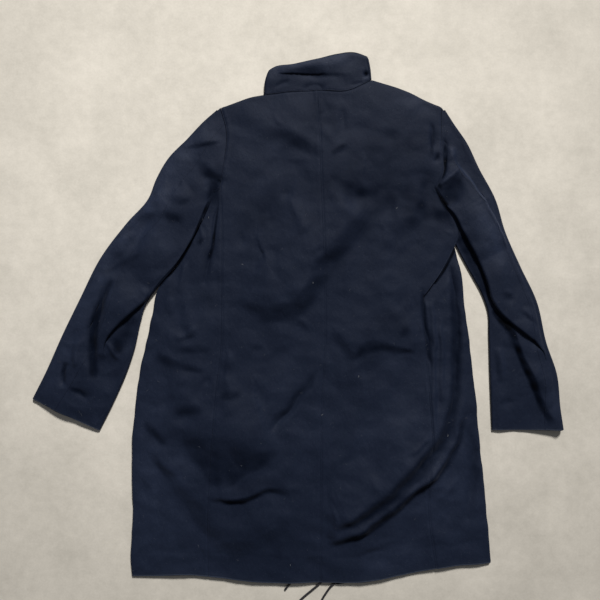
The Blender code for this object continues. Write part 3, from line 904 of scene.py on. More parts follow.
@dataclass(frozen=True)
class WoolFinish:
    """Dense milled wool with a short nap, raised by brushing.

    Attributes:
        deep: colour between the fibres.
        nap: colour of the fibres' tips.
        pale: colour of single pale fibres.
        rubbed: colour of edges rubbed by wear.
        sheen: colour of the fibres' sheen.
    """

    deep: Row4 = (0.0034, 0.0069, 0.0190, 1)
    nap: Row4 = (0.0082, 0.0132, 0.0300, 1)
    pale: Row4 = (0.040, 0.048, 0.068, 1)
    rubbed: Row4 = (0.018, 0.024, 0.040, 1)
    sheen: Row4 = (0.62, 0.70, 1.0, 1)

    def build(self, name: str) -> bpy.types.Material:
        """Makes the material.

        Args:
            name: the material's name.

        Returns:
            The material.
        """
        sheet = NodeSheet(name)
        clouds = sheet.noise((13, 13, 13), 0.3, 3.0)
        nap = sheet.noise((170, 120, 170), 0.5, 4.0)
        fibres = sheet.noise((1500, 420, 1500), 0.45, 2.0)
        crossed = sheet.noise((430, 1600, 1600), -0.35, 2.0)
        felt = sheet.maths("MAXIMUM", fibres, crossed)
        uneven = sheet.maths("ADD", sheet.ranged(clouds, 0.3, 0.7, -0.13, 0.13),
                             sheet.ranged(nap, 0.3, 0.7, -0.17, 0.17))
        tone = sheet.maths("ADD", sheet.ranged(felt, 0.35, 0.75, 0.15, 0.75), uneven)
        tone.use_clamp = True
        base = sheet.mixed(tone, self.deep, self.nap)
        strays = sheet.ranged(sheet.noise((620, 900, 900), 1.1, 0.0), 0.76, 0.84, 0.0, 0.5)
        flecked = sheet.mixed(strays, base, self.pale)
        colour = sheet.mixed(sheet.ranged(sheet.stored("rubbed"), 0, 1, 0, 0.6), flecked, self.rubbed)
        # The stored tone carries painted shade and highlights with the nap: it darkens or pales the colour,
        # and lowers the specular level where shade is painted
        nap_and_painted_light = sheet.stored("nap_and_painted_light")
        laid = sheet.mixed(1.0, colour, sheet.maths("ADD", nap_and_painted_light, 1.0), "MULTIPLY")
        relief = sheet.maths("ADD", sheet.maths("MULTIPLY", nap, 1.3), sheet.maths("MULTIPLY", felt, 0.9))
        return sheet.finished(relief, 0.62, 0.0008, Base_Color=laid,
                              Roughness=sheet.ranged(felt, 0.3, 0.8, 0.74, 0.62),
                              Specular_IOR_Level=sheet.ranged(nap_and_painted_light, -0.5, 0.5, 0.03, 0.25),
                              Sheen_Weight=0.04, Sheen_Roughness=0.45, Sheen_Tint=self.sheen)


@dataclass(frozen=True)
class ThreadFinish:
    """Twisted yarn, for the seams' stitches, the drawcord and loose fibres.

    Attributes:
        colour: the yarn's colour.
        shade: the colour in its grooves.
        pitch: cycles of the twist for each metre.
    """

    colour: Row4
    shade: Row4
    pitch: float = 900.0

    def build(self, name: str) -> bpy.types.Material:
        """Makes the material.

        Args:
            name: the material's name.

        Returns:
            The material.
        """
        sheet = NodeSheet(name)
        twist = sheet.noise((self.pitch, self.pitch * 0.6, self.pitch), 0.8, 2.0)
        fuzz = sheet.noise((2400, 2400, 2400), 0.0, 1.0)
        tone = sheet.maths("ADD", sheet.ranged(twist, 0.3, 0.7, 0.0, 0.8),
                           sheet.ranged(fuzz, 0.3, 0.7, 0, 0.2))
        return sheet.finished(twist, 0.4, 0.0003, Base_Color=sheet.mixed(tone, self.shade, self.colour),
                              Roughness=sheet.ranged(fuzz, 0.3, 0.7, 0.6, 0.8),
                              Specular_IOR_Level=0.25, Sheen_Weight=0.1)


@dataclass(frozen=True)
class FloorFinish:
    """A plain pale floor, faintly uneven in tone, with a painted pool of light: paler near one spot and
    darker away from it.

    Attributes:
        light: the paler tone.
        dark: the darker tone.
        patch: middle of the painted pool of light, in metres.
        reach: how far from there the painted light is at its fullest, and where it has died away.
        painted_light_levels: how light the painted pool makes the floor at those two distances.
    """

    light: Row4 = (0.76, 0.71, 0.635, 1)
    dark: Row4 = (0.52, 0.487, 0.43, 1)
    patch: tuple[float, float, float] = (-0.12, 0.22, 0.0)
    reach: tuple[float, float] = (0.35, 0.95)
    painted_light_levels: tuple[float, float] = (1.09, 0.79)

    def build(self, name: str) -> bpy.types.Material:
        """Makes the material.

        Args:
            name: the material's name.

        Returns:
            The material.
        """
        sheet = NodeSheet(name)
        clouds = sheet.noise((9, 9, 9), 0.2, 5.0)
        grain = sheet.noise((60, 60, 60), 0.0, 4.0)
        pores = sheet.noise((260, 260, 260), 0.0, 3.0)
        fine = sheet.maths("ADD", sheet.ranged(grain, 0.3, 0.7, 0, 0.26),
                           sheet.ranged(pores, 0.3, 0.7, -0.1, 0.1))
        tone = sheet.maths("ADD", sheet.ranged(clouds, 0.3, 0.7, 0.12, 0.62), fine)
        away = sheet.add("VectorMath", operation="DISTANCE")
        sheet.feed(away, 0, sheet.where)
        sheet.feed(away, 1, self.patch)
        # Painted pool of light: the floor's colour is paler near the patch and darker away from it
        shade = sheet.ranged(away.outputs["Value"], *self.reach, *self.painted_light_levels)
        colour = sheet.mixed(1.0, sheet.mixed(tone, self.dark, self.light), shade, "MULTIPLY")
        return sheet.finished(grain, 0.12, 0.001, Base_Color=colour, Specular_IOR_Level=0.2,
                              Roughness=sheet.ranged(grain, 0.3, 0.7, 0.75, 0.9))


@dataclass(frozen=True)
class Cut:
    """The flat size that a piece of cloth is cut to, in metres and square metres."""

    width: float
    length: float
    area: float


def dress(piece: bpy.types.Object, node: str, wool: bpy.types.Material) -> None:
    """Gives a cloth piece its finish, hangs it on the root and hides the frame's part that it stands for.

    Args:
        piece: the cloth.
        node: the frame's node that it stands for.
        wool: its material.
    """
    piece.data.materials.append(wool)
    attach(piece, "root")
    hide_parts(node)
    log.info("%s: %d faces", piece.name, len(piece.data.polygons))


ARMHOLE_FOLDS: tuple[Fold, ...] = (
    # across the left armhole
    step(26, (-212,311,4,1), (-190,315,4,2.4), (-162,320,4,2.6), (-136,326,4,1)),
    step(40, (-204,296,7,1), (-178,280,8,3.4), (-154,264,8,4), (-124,256,8,1)),
    # beside the right armhole
    crease((249,362,4,-2.5), (249,338,4.5,-5.5), (247,308,4,-2)),
    crease((261,304,4,-1.5), (256,294,4.5,-4), (251,281,4,-1)),
)
BODY_FOLDS: tuple[Fold, ...] = (
    # neck hollow, and the creases round it
    step(46, (-78,346,12,1.8), (-44,336,14,4.4), (-8,327,16,5.8), (26,314,15,4.8),
        (58,298,11,1.6), fade=0.12),
    step(46, (56,295,5,1.2), (76,306,5,2.8), (98,325,5,1)),
    soft((-50,378,6,0.5), (-35,362,7,1.4), (-20,347,6,0.5)),
    step(46, (28,378,6,0.8), (40,379,6,1.7), (54,382,6,0.8)),
    soft((86,390,6,-1.2), (85,365,6,-2.2), (84,338,6,-0.8)),
    # shoulder blades
    step(60, (-8,268,12,1), (36,256,13,3), (80,243,14,4.2), (118,231,13,4.8), (152,238,11,2)),
    soft((50,208,13,1), (92,204,15,2.4), (130,202,12,1.8), (152,212,9,0.6)),
    soft((-85,230,18,-1), (-62,196,20,-3.6), (-56,158,18,-1.6)),
    soft((-40,240,12,-1), (-20,225,13,-3), (-8,205,12,-1)),
    soft((-124,148,12,-1.4), (-105,141,13,-3.4), (-84,143,12,-1)),
    step(46, (160,170,15,1.2), (190,168,18,3.8), (214,176,16,4.2), (236,196,14,1.8)),
    step(40, (148,130,10,0.6), (166,132,11,1.7), (182,138,10,0.6)),
    soft((146,330,16,-1), (172,334,16,-2.6), (200,322,16,-1)),
    soft((238,290,14,-1), (240,250,14,-3.6), (244,200,14,-3), (250,160,12,-1)),
    # the long drop from the shoulder blade to the waist
    step(78, (-136,34,22,2), (-92,12,22,6), (-52,6,20,9.5), (-14,12,18,12.5), (14,30,18,15),
        (29,60,19,16.5), (50,98,21,17), (81,133,22,17), (112,168,20,13.5), (144,202,15,5), fade=0.12),
    soft((40,142,8,-1), (42,126,9,-2.4), (40,108,8,-1)),
    soft((-6,4,6,0.6), (10,-10,7,1.8), (30,-24,6,0.6)),
    step(58, (-14,150,8,0.9), (14,157,8,2.5), (44,182,8,1)),
    step(50, (-76,76,12,0.6), (-54,79,15,1.7), (-30,86,12,0.6)),
    # beside the left side seam
    crease((-148,226,4,-1.5), (-150,194,4,-3.6), (-153,158,4.5,-6.5), (-160,118,6,-6), (-168,78,8,-4),
        (-176,48,9,-1.5), fade=0.1),
    step(34, (-192,150,5,0.8), (-178,146,5,2.2), (-166,150,5,0.8)),
    soft((-150,100,10,-1), (-148,70,11,-2.8), (-156,42,11,-1)),
    soft((-204,112,5,0.8), (-208,90,5,2.6), (-215,64,5,2), (-216,40,6,0.8)),
    soft((-196,50,8,0.6), (-206,24,9,1.6), (-204,0,9,1.6), (-214,-26,9,0.8)),
    soft((-186,-12,5,1), (-200,-26,6,2.8), (-226,-40,6,1.2)),
    soft((-232,64,5,0.6), (-238,30,6,1.4), (-232,2,6,0.8)),
    # left waist
    step(50, (-100,-50,5,0.8), (-76,-54,6,2.5), (-52,-60,5,0.8)),
    step(30, (-206,-34,5,0.6), (-194,-34,5,1.7), (-182,-35,5,0.6)),
    step(42, (-240,-66,8,0.9), (-212,-61,9,2.1), (-180,-58,9,3.2), (-150,-62,8,1.2)),
    step(42, (-272,-56,9,1.4), (-252,-74,10,3.4), (-222,-88,9,4), (-190,-94,8,4.2),
        (-162,-100,7,1.2), fade=0.14),
    soft((-172,-104,9,-1), (-168,-118,9,-2.6), (-166,-134,8,-1)),
    step(46, (-146,-86,11,0.9), (-128,-90,14,2.2), (-108,-84,11,0.9)),
    step(54, (-152,-140,10,1.2), (-126,-141,11,3), (-98,-132,10,0.9)),
    step(66, (-240,-174,8,2), (-222,-171,10,4.4), (-200,-167,12,6), (-180,-169,10,4.4), (-162,-176,8,2)),
    soft((-240,-118,12,1.4), (-218,-112,14,3.4), (-192,-124,12,1.4)),
    soft((-108,-115,12,1), (-80,-112,13,2.6), (-56,-128,12,1)),
    # left hip
    step(46, (-288,-184,9,1.5), (-272,-202,11,3.8), (-254,-220,11,3.8), (-238,-240,8,1.2)),
    step(70, (-284,-236,6,2), (-262,-258,8,4), (-236,-288,10,5), (-212,-318,14,6.2), (-188,-350,18,7.6),
        (-160,-384,22,8.2), (-132,-416,24,6.4), (-114,-452,22,3), fade=0.12),
    soft((-292,-268,14,1.4), (-272,-306,16,3.2), (-256,-348,14,1.2)),
    step(40, (-300,-412,15,0.8), (-262,-420,16,1.5), (-214,-410,16,1.4), (-176,-416,15,0.6)),
    # trough beside the centre seam
    soft((38,-90,6,-1.4), (18,-126,7,-5), (-8,-162,8,-6.6), (-32,-190,8,-6.2),
        (-58,-212,7,-1.6), lean=-0.25),
    # seat hollow and the crease under it
    step(74, (-232,-210,18,3), (-192,-232,30,10), (-144,-256,46,16), (-98,-264,42,16), (-56,-262,22,10),
        (-16,-250,14,2), fade=0.14),
    step(54, (-164,-335,6,4), (-132,-335,6,8.6), (-100,-334,6,8.8), (-72,-324,6,7.6), (-46,-316,6,5.6),
        (-22,-317,7,3.4), (2,-328,8,2.4), (10,-346,8,1.2), fade=0.1),
    step(40, (-134,-350,11,0.6), (-114,-354,12,1.5), (-96,-350,11,0.6)),
    step(50, (-130,-380,30,1), (-60,-412,42,2.5), (0,-424,38,2.2), (54,-432,28,0.8)),
    soft((-46,-366,14,1.2), (-18,-368,15,3), (8,-372,13,1.2)),
    # right waist
    step(46, (88,-82,7,1.6), (104,-71,9,4), (128,-54,11,6.6), (152,-50,11,6.8), (172,-58,8,6),
        (198,-63,6,5.6), (228,-64,5,2), fade=0.14),
    step(50, (180,-34,9,1.2), (196,-24,10,3.4), (216,-10,9,1.2)),
    soft((66,-58,9,-0.8), (70,-90,11,-2.2), (66,-124,11,-2.2), (62,-148,9,-0.8)),
    step(42, (88,-120,9,0.8), (110,-117,10,1.8), (134,-109,9,0.8)),
    step(40, (106,-144,10,0.6), (120,-146,11,1.5), (136,-144,10,0.6)),
    step(42, (192,20,8,0.8), (204,16,9,2.1), (216,18,8,0.8)),
    soft((60,30,30,1), (120,40,36,3), (180,70,34,2.6), (210,100,28,1)),
    # right side panel
    crease((229,66,4,-2), (231,30,4,-5), (237,-20,4.5,-5), (242,-62,4.5,-4), (243,-100,4,-1)),
    soft((248,40,4,1.6), (250,-30,4,3.4), (249,-110,4,3), (250,-190,4,2.4), (248,-250,4,1), fade=0.08),
    soft((262,20,4,1), (265,-40,4,2.4), (266,-110,4,2.4), (262,-170,4,1)),
    soft((262,-126,4,-1), (258,-150,4,-2.6), (256,-176,4,-1)),
    # the two drops from the right armpit to the hem
    crease((284,116,5,-3), (288,60,6,-6), (293,0,6.5,-8.5), (293,-60,6.5,-8.5), (291,-110,6.5,-7),
        (286,-152,6,-4), (280,-186,6,-1.5), fade=0.1),
    step(60, (40,-388,9,2.4), (76,-384,9,5.5), (106,-372,9,9), (136,-350,9,11.5), (170,-325,10,12.6),
        (202,-290,10,12.8), (232,-258,10,12.8), (259,-229,10,12), (275,-192,9,11), (286,-146,8,9),
        (292,-80,8,3), fade=0.16),
    step(50, (40,-424,6,1.8), (76,-413,7,4.8), (109,-400,7,7.4), (139,-383,8,8.4), (176,-355,8,9),
        (214,-321,8,9), (248,-296,8,8.4), (270,-270,7,6.8), (290,-232,6,5), (304,-184,6,3.6),
        (309,-130,6,1), fade=0.12),
    step(6.5, (52,-420,5,1), (76,-412,5,2.2), (109,-399,6,3), (139,-382,6,3.4), (176,-354,6,3.6),
        (214,-320,6,3.6), (248,-295,6,3.4), (270,-269,6,3), (290,-231,5,2.6), (304,-184,5,2),
        (309,-140,5,1), fade=0.12),
    soft((60,-330,46,1), (120,-300,60,3), (190,-230,60,4), (236,-160,44,1.6)),
    soft((150,-470,40,-1), (250,-380,44,-3.4), (320,-300,34,-2.4)),
    step(54, (46,-400,6,1), (66,-404,8,2.7), (92,-398,6,1)),
    soft((312,-196,7,-1.6), (322,-236,8,-4.6), (324,-280,8,-4.8), (318,-330,9,-4.6),
        (312,-384,9,-1.6), fade=0.12),
    soft((338,-180,7,1), (342,-260,7,2.6), (348,-340,7,1.2)),
    step(46, (94,-438,6,1), (130,-433,7,2.4), (164,-422,8,2), (212,-406,9,0.9)),
    step(66, (206,-436,12,1), (250,-426,13,2), (300,-408,12,1.8), (348,-402,11,1)),
    soft((258,-342,6,0.5), (280,-314,7,1.4), (300,-286,6,0.5)),
    soft((118,-262,7,0.5), (138,-296,8,1.5), (156,-328,7,0.5)),
    soft((204,-252,4,0.8), (222,-236,4,2.2), (238,-214,4,0.8)),
    soft((270,160,3,0.6), (279,159,3,1.4), (288,156,3,0.6)),
    # the lapped fronts underneath lift the hem's centre
    soft((41,-520,50,2.4), (42,-300,46,1.4), (44,-120,40,0.6), fade=0.05),
)
# Painted shade in hollows, creases and crevices, painted light, and paler and darker stretches of the nap's
# tone, with hundredths of the colour in place of the height
NAP_AND_PAINTED_LIGHT_PATCHES: tuple[Fold, ...] = (
    # painted shade in the seat hollow
    step(58, (-216,-202,6,-20), (-206,-240,6,-28), (-180,-278,6,-34), (-150,-306,5,-36), (-119,-304,5,-36),
        (-90,-284,6,-36), (-58,-268,6,-34), (-24,-248,6,-24), fade=0.1),
    soft((-84,-266,12,-6), (-60,-258,12,-16), (-36,-252,8,-12)),
    soft((-186,-230,5,8), (-168,-248,6,16), (-150,-268,5,8)),
    soft((-132,-234,6,5), (-118,-262,6,12), (-104,-286,5,5)),
    # painted shade down the two drops
    band((72,-386,7,-10), (106,-373,11,-38), (138,-351,13,-44), (172,-327,14,-45), (204,-291,15,-45),
        (234,-260,15,-44), (262,-230,14,-42), (277,-192,12,-40), (288,-146,11,-38), (293,-60,11,-38),
        (292,10,11,-38), (289,70,9,-28), (286,112,6,-10), fade=0.04),
    band((60,-418,5,-30), (108,-402,8,-56), (139,-385,8,-60), (176,-356,9,-60), (215,-323,9,-60),
        (250,-297,8,-58), (273,-271,8,-56), (295,-230,7,-48), (307,-182,5,-20), fade=0.05),
    # painted shade in smaller hollows and creases
    soft((92,-78,8,-14), (126,-57,10,-26), (164,-57,8,-26), (222,-66,5,-20)),
    soft((-232,-178,7,-14), (-200,-168,10,-30), (-168,-174,7,-14)),
    soft((-286,-184,6,-24), (-264,-210,8,-42), (-242,-236,6,-24)),
    soft((-276,-240,4,-20), (-262,-254,5,-32), (-240,-298,7,-20), (-200,-360,10,-16), (-160,-410,12,-10)),
    soft((-262,-70,9,-8), (-236,-88,8,-18), (-180,-97,7,-18)),
    soft((-236,-63,5,-6), (-190,-61,6,-26), (-154,-63,5,-16)),
    soft((-252,-52,6,-12), (-248,-74,9,-22), (-230,-90,7,-12)),
    soft((184,-36,6,-12), (197,-24,9,-24), (213,-10,6,-12)),
    # painted light: a paler strip along the left hem
    soft((-298,-462,11,16), (-210,-464,11,26), (-120,-470,11,20)),
    soft((-146,-90,7,-8), (-128,-92,9,-18), (-110,-88,7,-8)),
    soft((-148,-141,6,-12), (-124,-142,8,-34), (-98,-134,5,-14)),
    band((-66,342,9,-14), (-30,331,14,-16), (4,321,15,-18), (30,310,12,-14), (52,296,8,-10), fade=0.08),
    band((60,299,3.5,-30), (75,310,4.5,-42), (94,321,3.5,-24)),
    soft((86,234,9,-6), (112,226,11,-14), (136,230,8,-6)),
    soft((196,148,9,-10), (210,178,13,-20), (228,216,10,-12), (240,258,10,-20), (249,274,6,-10)),
    soft((-96,16,16,-6), (-50,2,16,-14), (0,12,12,-10)),
    band((-156,-336,5,-30), (-122,-337,6,-62), (-86,-330,5,-56), (-44,-318,5,-30), (6,-340,5,-12)),
    soft((34,-92,4,-10), (6,-140,6,-24), (-46,-194,6,-24)),
    band((-153,266,9,-20), (-153,240,10,-40), (-155,216,10,-40), (-157,200,7,-30), fade=0.1),
    # painted shade in the crevices against the left sleeve and under the right flap
    band((-162,216,2.4,-50), (-166,206,2.6,-80), (-178,180,2.4,-85), (-200,132,2.2,-85), (-223,95,2.2,-80),
        (-257,56,2,-60), fade=0.03),
    band((294,134,2.4,-90), (281,106,2.4,-95), (267,81,2.4,-95), (252,61,2,-90), fade=0.02),
    band((253,246,2,-40), (259,232,2.2,-80), (267,216,2.8,-85), (277,203,4.4,-85),
        (287,193,4,-60), fade=0.06),
    band((250,350,3,-14), (248.5,322,3.6,-30), (246,294,3,-20)),
    band((263,307,2.5,-20), (258,298,3,-36), (253,287,2.5,-20)),
    soft((262,214,9,-14), (268,196,12,-34), (272,182,12,-34), (280,168,10,-14)),
    soft((-192,144,4,-20), (-180,146,6,-40), (-170,148,4,-20)),
    # painted shade in the long upright troughs
    band((229,66,4,-20), (231,30,5,-34), (237,-20,5,-36), (242,-62,5,-30), (243,-100,5,-12)),
    band((-147,206,1.8,-20), (-150,178,1.9,-50), (-154,152,2.6,-74), (-158,126,3,-66),
        (-165,104,4,-20), fade=0.08),
    soft((-157,146,4,-10), (-165,110,8,-22), (-168,64,10,-14)),
    soft((312,-196,7,-8), (322,-240,8,-18), (323,-290,8,-20), (314,-360,9,-14)),
    # wide stretches of painted light and shade: paler towards the hem, darker high on the back and along the
    # long drop
    soft((-160,-380,26,-6), (-100,-405,40,-12), (-30,-420,40,-16), (40,-430,30,-8)),
    soft((10,262,34,-8), (90,252,44,-22), (180,240,54,-20), (226,200,36,-14)),
    soft((60,306,34,-6), (150,304,40,-12), (226,290,34,-8)),
    soft((-90,200,44,-8), (-44,206,50,-14), (0,220,36,-6)),
    soft((156,205,14,-10), (96,138,22,-20), (44,76,18,-22), (0,14,16,-12), (-60,0,20,-8)),
    soft((64,-70,40,-4), (120,-66,40,-12), (190,-50,34,-10)),
    soft((-262,0,30,12), (-276,-150,30,20), (-276,-300,38,40), (-270,-400,44,28),
        (-230,-466,30,30), fade=0.08),
    soft((120,-110,60,4), (200,-190,60,16), (270,-330,60,40), (300,-450,60,50), fade=0.08),
    soft((-262,40,24,4), (-226,10,30,14), (-200,-30,24,8)),
    soft((-246,-350,20,6), (-232,-420,30,22), (-204,-470,26,12)),
    soft((90,-462,20,8), (160,-446,26,34), (215,-428,28,34), (262,-400,24,10)),
    soft((-60,-140,60,4), (0,-180,60,10), (60,-220,60,10), (100,-260,50,4)),
    soft((-150,360,40,4), (-90,300,40,13), (-60,270,40,8)),
    soft((40,208,12,6), (90,200,16,12), (130,200,10,6)),
    # paler stretches
    soft((-60,20,18,8), (-14,33,20,20), (20,20,16,10)),
    soft((104,272,18,8), (134,270,22,16), (176,266,18,8)),
    soft((-86,262,18,10), (-68,244,20,18), (-58,216,16,8)),
    soft((76,150,18,8), (100,142,18,14), (124,160,16,8)),
    soft((-40,-214,16,8), (-66,-234,20,20), (-96,-240,16,8)),
    soft((-190,-200,18,10), (-200,-246,22,20), (-226,-318,22,22), (-190,-390,20,14), (-150,-432,20,18),
        (-120,-460,16,8)),
    soft((-216,-100,18,10), (-227,-130,20,18), (-224,-160,16,8)),
    soft((90,-200,24,10), (124,-226,26,22), (140,-260,22,10)),
    soft((150,-366,20,10), (182,-376,22,22), (214,-366,18,10)),
    soft((300,-200,16,8), (302,-246,20,16), (310,-290,16,8)),
    soft((-60,-50,24,8), (-32,-52,24,12), (-10,-90,22,8), (-42,-143,26,14), (0,-170,20,8)),
    soft((130,-84,16,8), (168,-80,18,16), (210,-84,14,8)),
    soft((284,90,10,10), (292,60,12,18), (300,10,10,10)),
    soft((0,-396,22,6), (50,-394,24,12), (110,-410,18,6)),
    soft((-300,-400,14,6), (-290,-450,18,14), (-250,-470,16,8)),
    soft((150,410,18,8), (196,402,20,16), (262,380,18,20)),
    soft((-80,318,18,8), (-44,314,20,14), (-14,300,16,6)),
    soft((-20,-262,18,8), (8,-276,20,12), (30,-300,16,6)),
    # darker stretches
    soft((-40,236,22,-8), (42,242,26,-18), (120,226,24,-12), (204,216,28,-30), (262,180,26,-34),
        (296,140,24,-20)),
    soft((0,416,18,-12), (26,400,22,-20), (70,360,22,-18), (96,330,20,-10)),
    soft((110,318,16,-8), (170,320,18,-12), (228,318,22,-20), (262,296,18,-10)),
    soft((-150,340,18,-10), (-125,316,20,-18), (-122,270,20,-10)),
    soft((-140,190,24,-8), (-100,186,26,-14), (-66,182,24,-20), (-20,190,20,-10)),
    soft((24,200,16,-10), (27,178,16,-16), (24,150,14,-8)),
    soft((-160,70,18,-10), (-166,34,20,-18), (-168,0,18,-10)),
    soft((96,-20,18,-10), (130,-14,18,-14), (190,-4,20,-20), (222,10,16,-8)),
    soft((188,-190,24,-14), (208,-212,24,-22), (226,-254,22,-24), (240,-290,22,-30), (250,-320,18,-14)),
    soft((-130,-312,14,-16), (-88,-310,16,-26), (-50,-300,16,-16), (-20,-330,14,-10)),
    soft((150,-440,20,-10), (208,-432,22,-18), (250,-404,20,-12), (291,-374,22,-18), (330,-330,18,-8)),
    soft((-150,-90,20,-10), (-142,-130,22,-14), (-120,-160,18,-8)),
    soft((-284,-190,16,-10), (-276,-228,18,-16), (-264,-262,16,-8)),
    soft((-262,-396,16,-10), (-250,-412,16,-14), (-232,-426,14,-8)),
    soft((60,-120,14,-8), (60,-152,16,-13), (56,-190,14,-8)),
    soft((-250,40,14,-10), (-236,51,14,-14), (-226,70,12,-8)),
)
HEM_MARKS: tuple[Fold, ...] = (
    soft((-300,-433,4,-0.35), (-164,-434,4,-0.35), (42,-444,4,-0.35), (190,-430,4,-0.35),
        (352,-410,4,-0.35), fade=0.02),
)
BODY_SEAMS: tuple[Seam, ...] = (
    Seam(CENTRE_BACK),
    Seam(LEFT_SIDE_BACK, groove=0.5, shoulder=0.25),
    Seam(RIGHT_SIDE_BACK),
    Seam(LEFT_ARMHOLE, groove=0.9, shoulder=0.7),
    Seam(RIGHT_ARMHOLE, groove=0.9, shoulder=0.9),
    Seam(LEFT_NECK, groove=0.3, shoulder=0.15),
    Seam(RIGHT_NECK, groove=0.3, shoulder=0.15),
)


# Lines near which the top layer lies lower: the line, how far that reaches, and the share of the lift lost
LOFT_EDGES: tuple[tuple[Rows2, float, float], ...] = (
    *((edge, 34.0, 1.0) for edge in (LEFT_BODY_EDGE, RIGHT_BODY_EDGE)),
    *((edge, 30.0, 1.0) for edge in (LEFT_ARMHOLE, RIGHT_ARMHOLE)),
    *((edge, 26.0, 1.0) for edge in (LEFT_SHOULDER, RIGHT_SHOULDER)),
    *((edge, 30.0, 1.0) for edge in (LEFT_NECK, RIGHT_NECK)),
    *((edge, 100.0, 0.45) for edge in (LEFT_SIDE_HEM, LEFT_HEM, RIGHT_HEM, RIGHT_SIDE_HEM)),
)


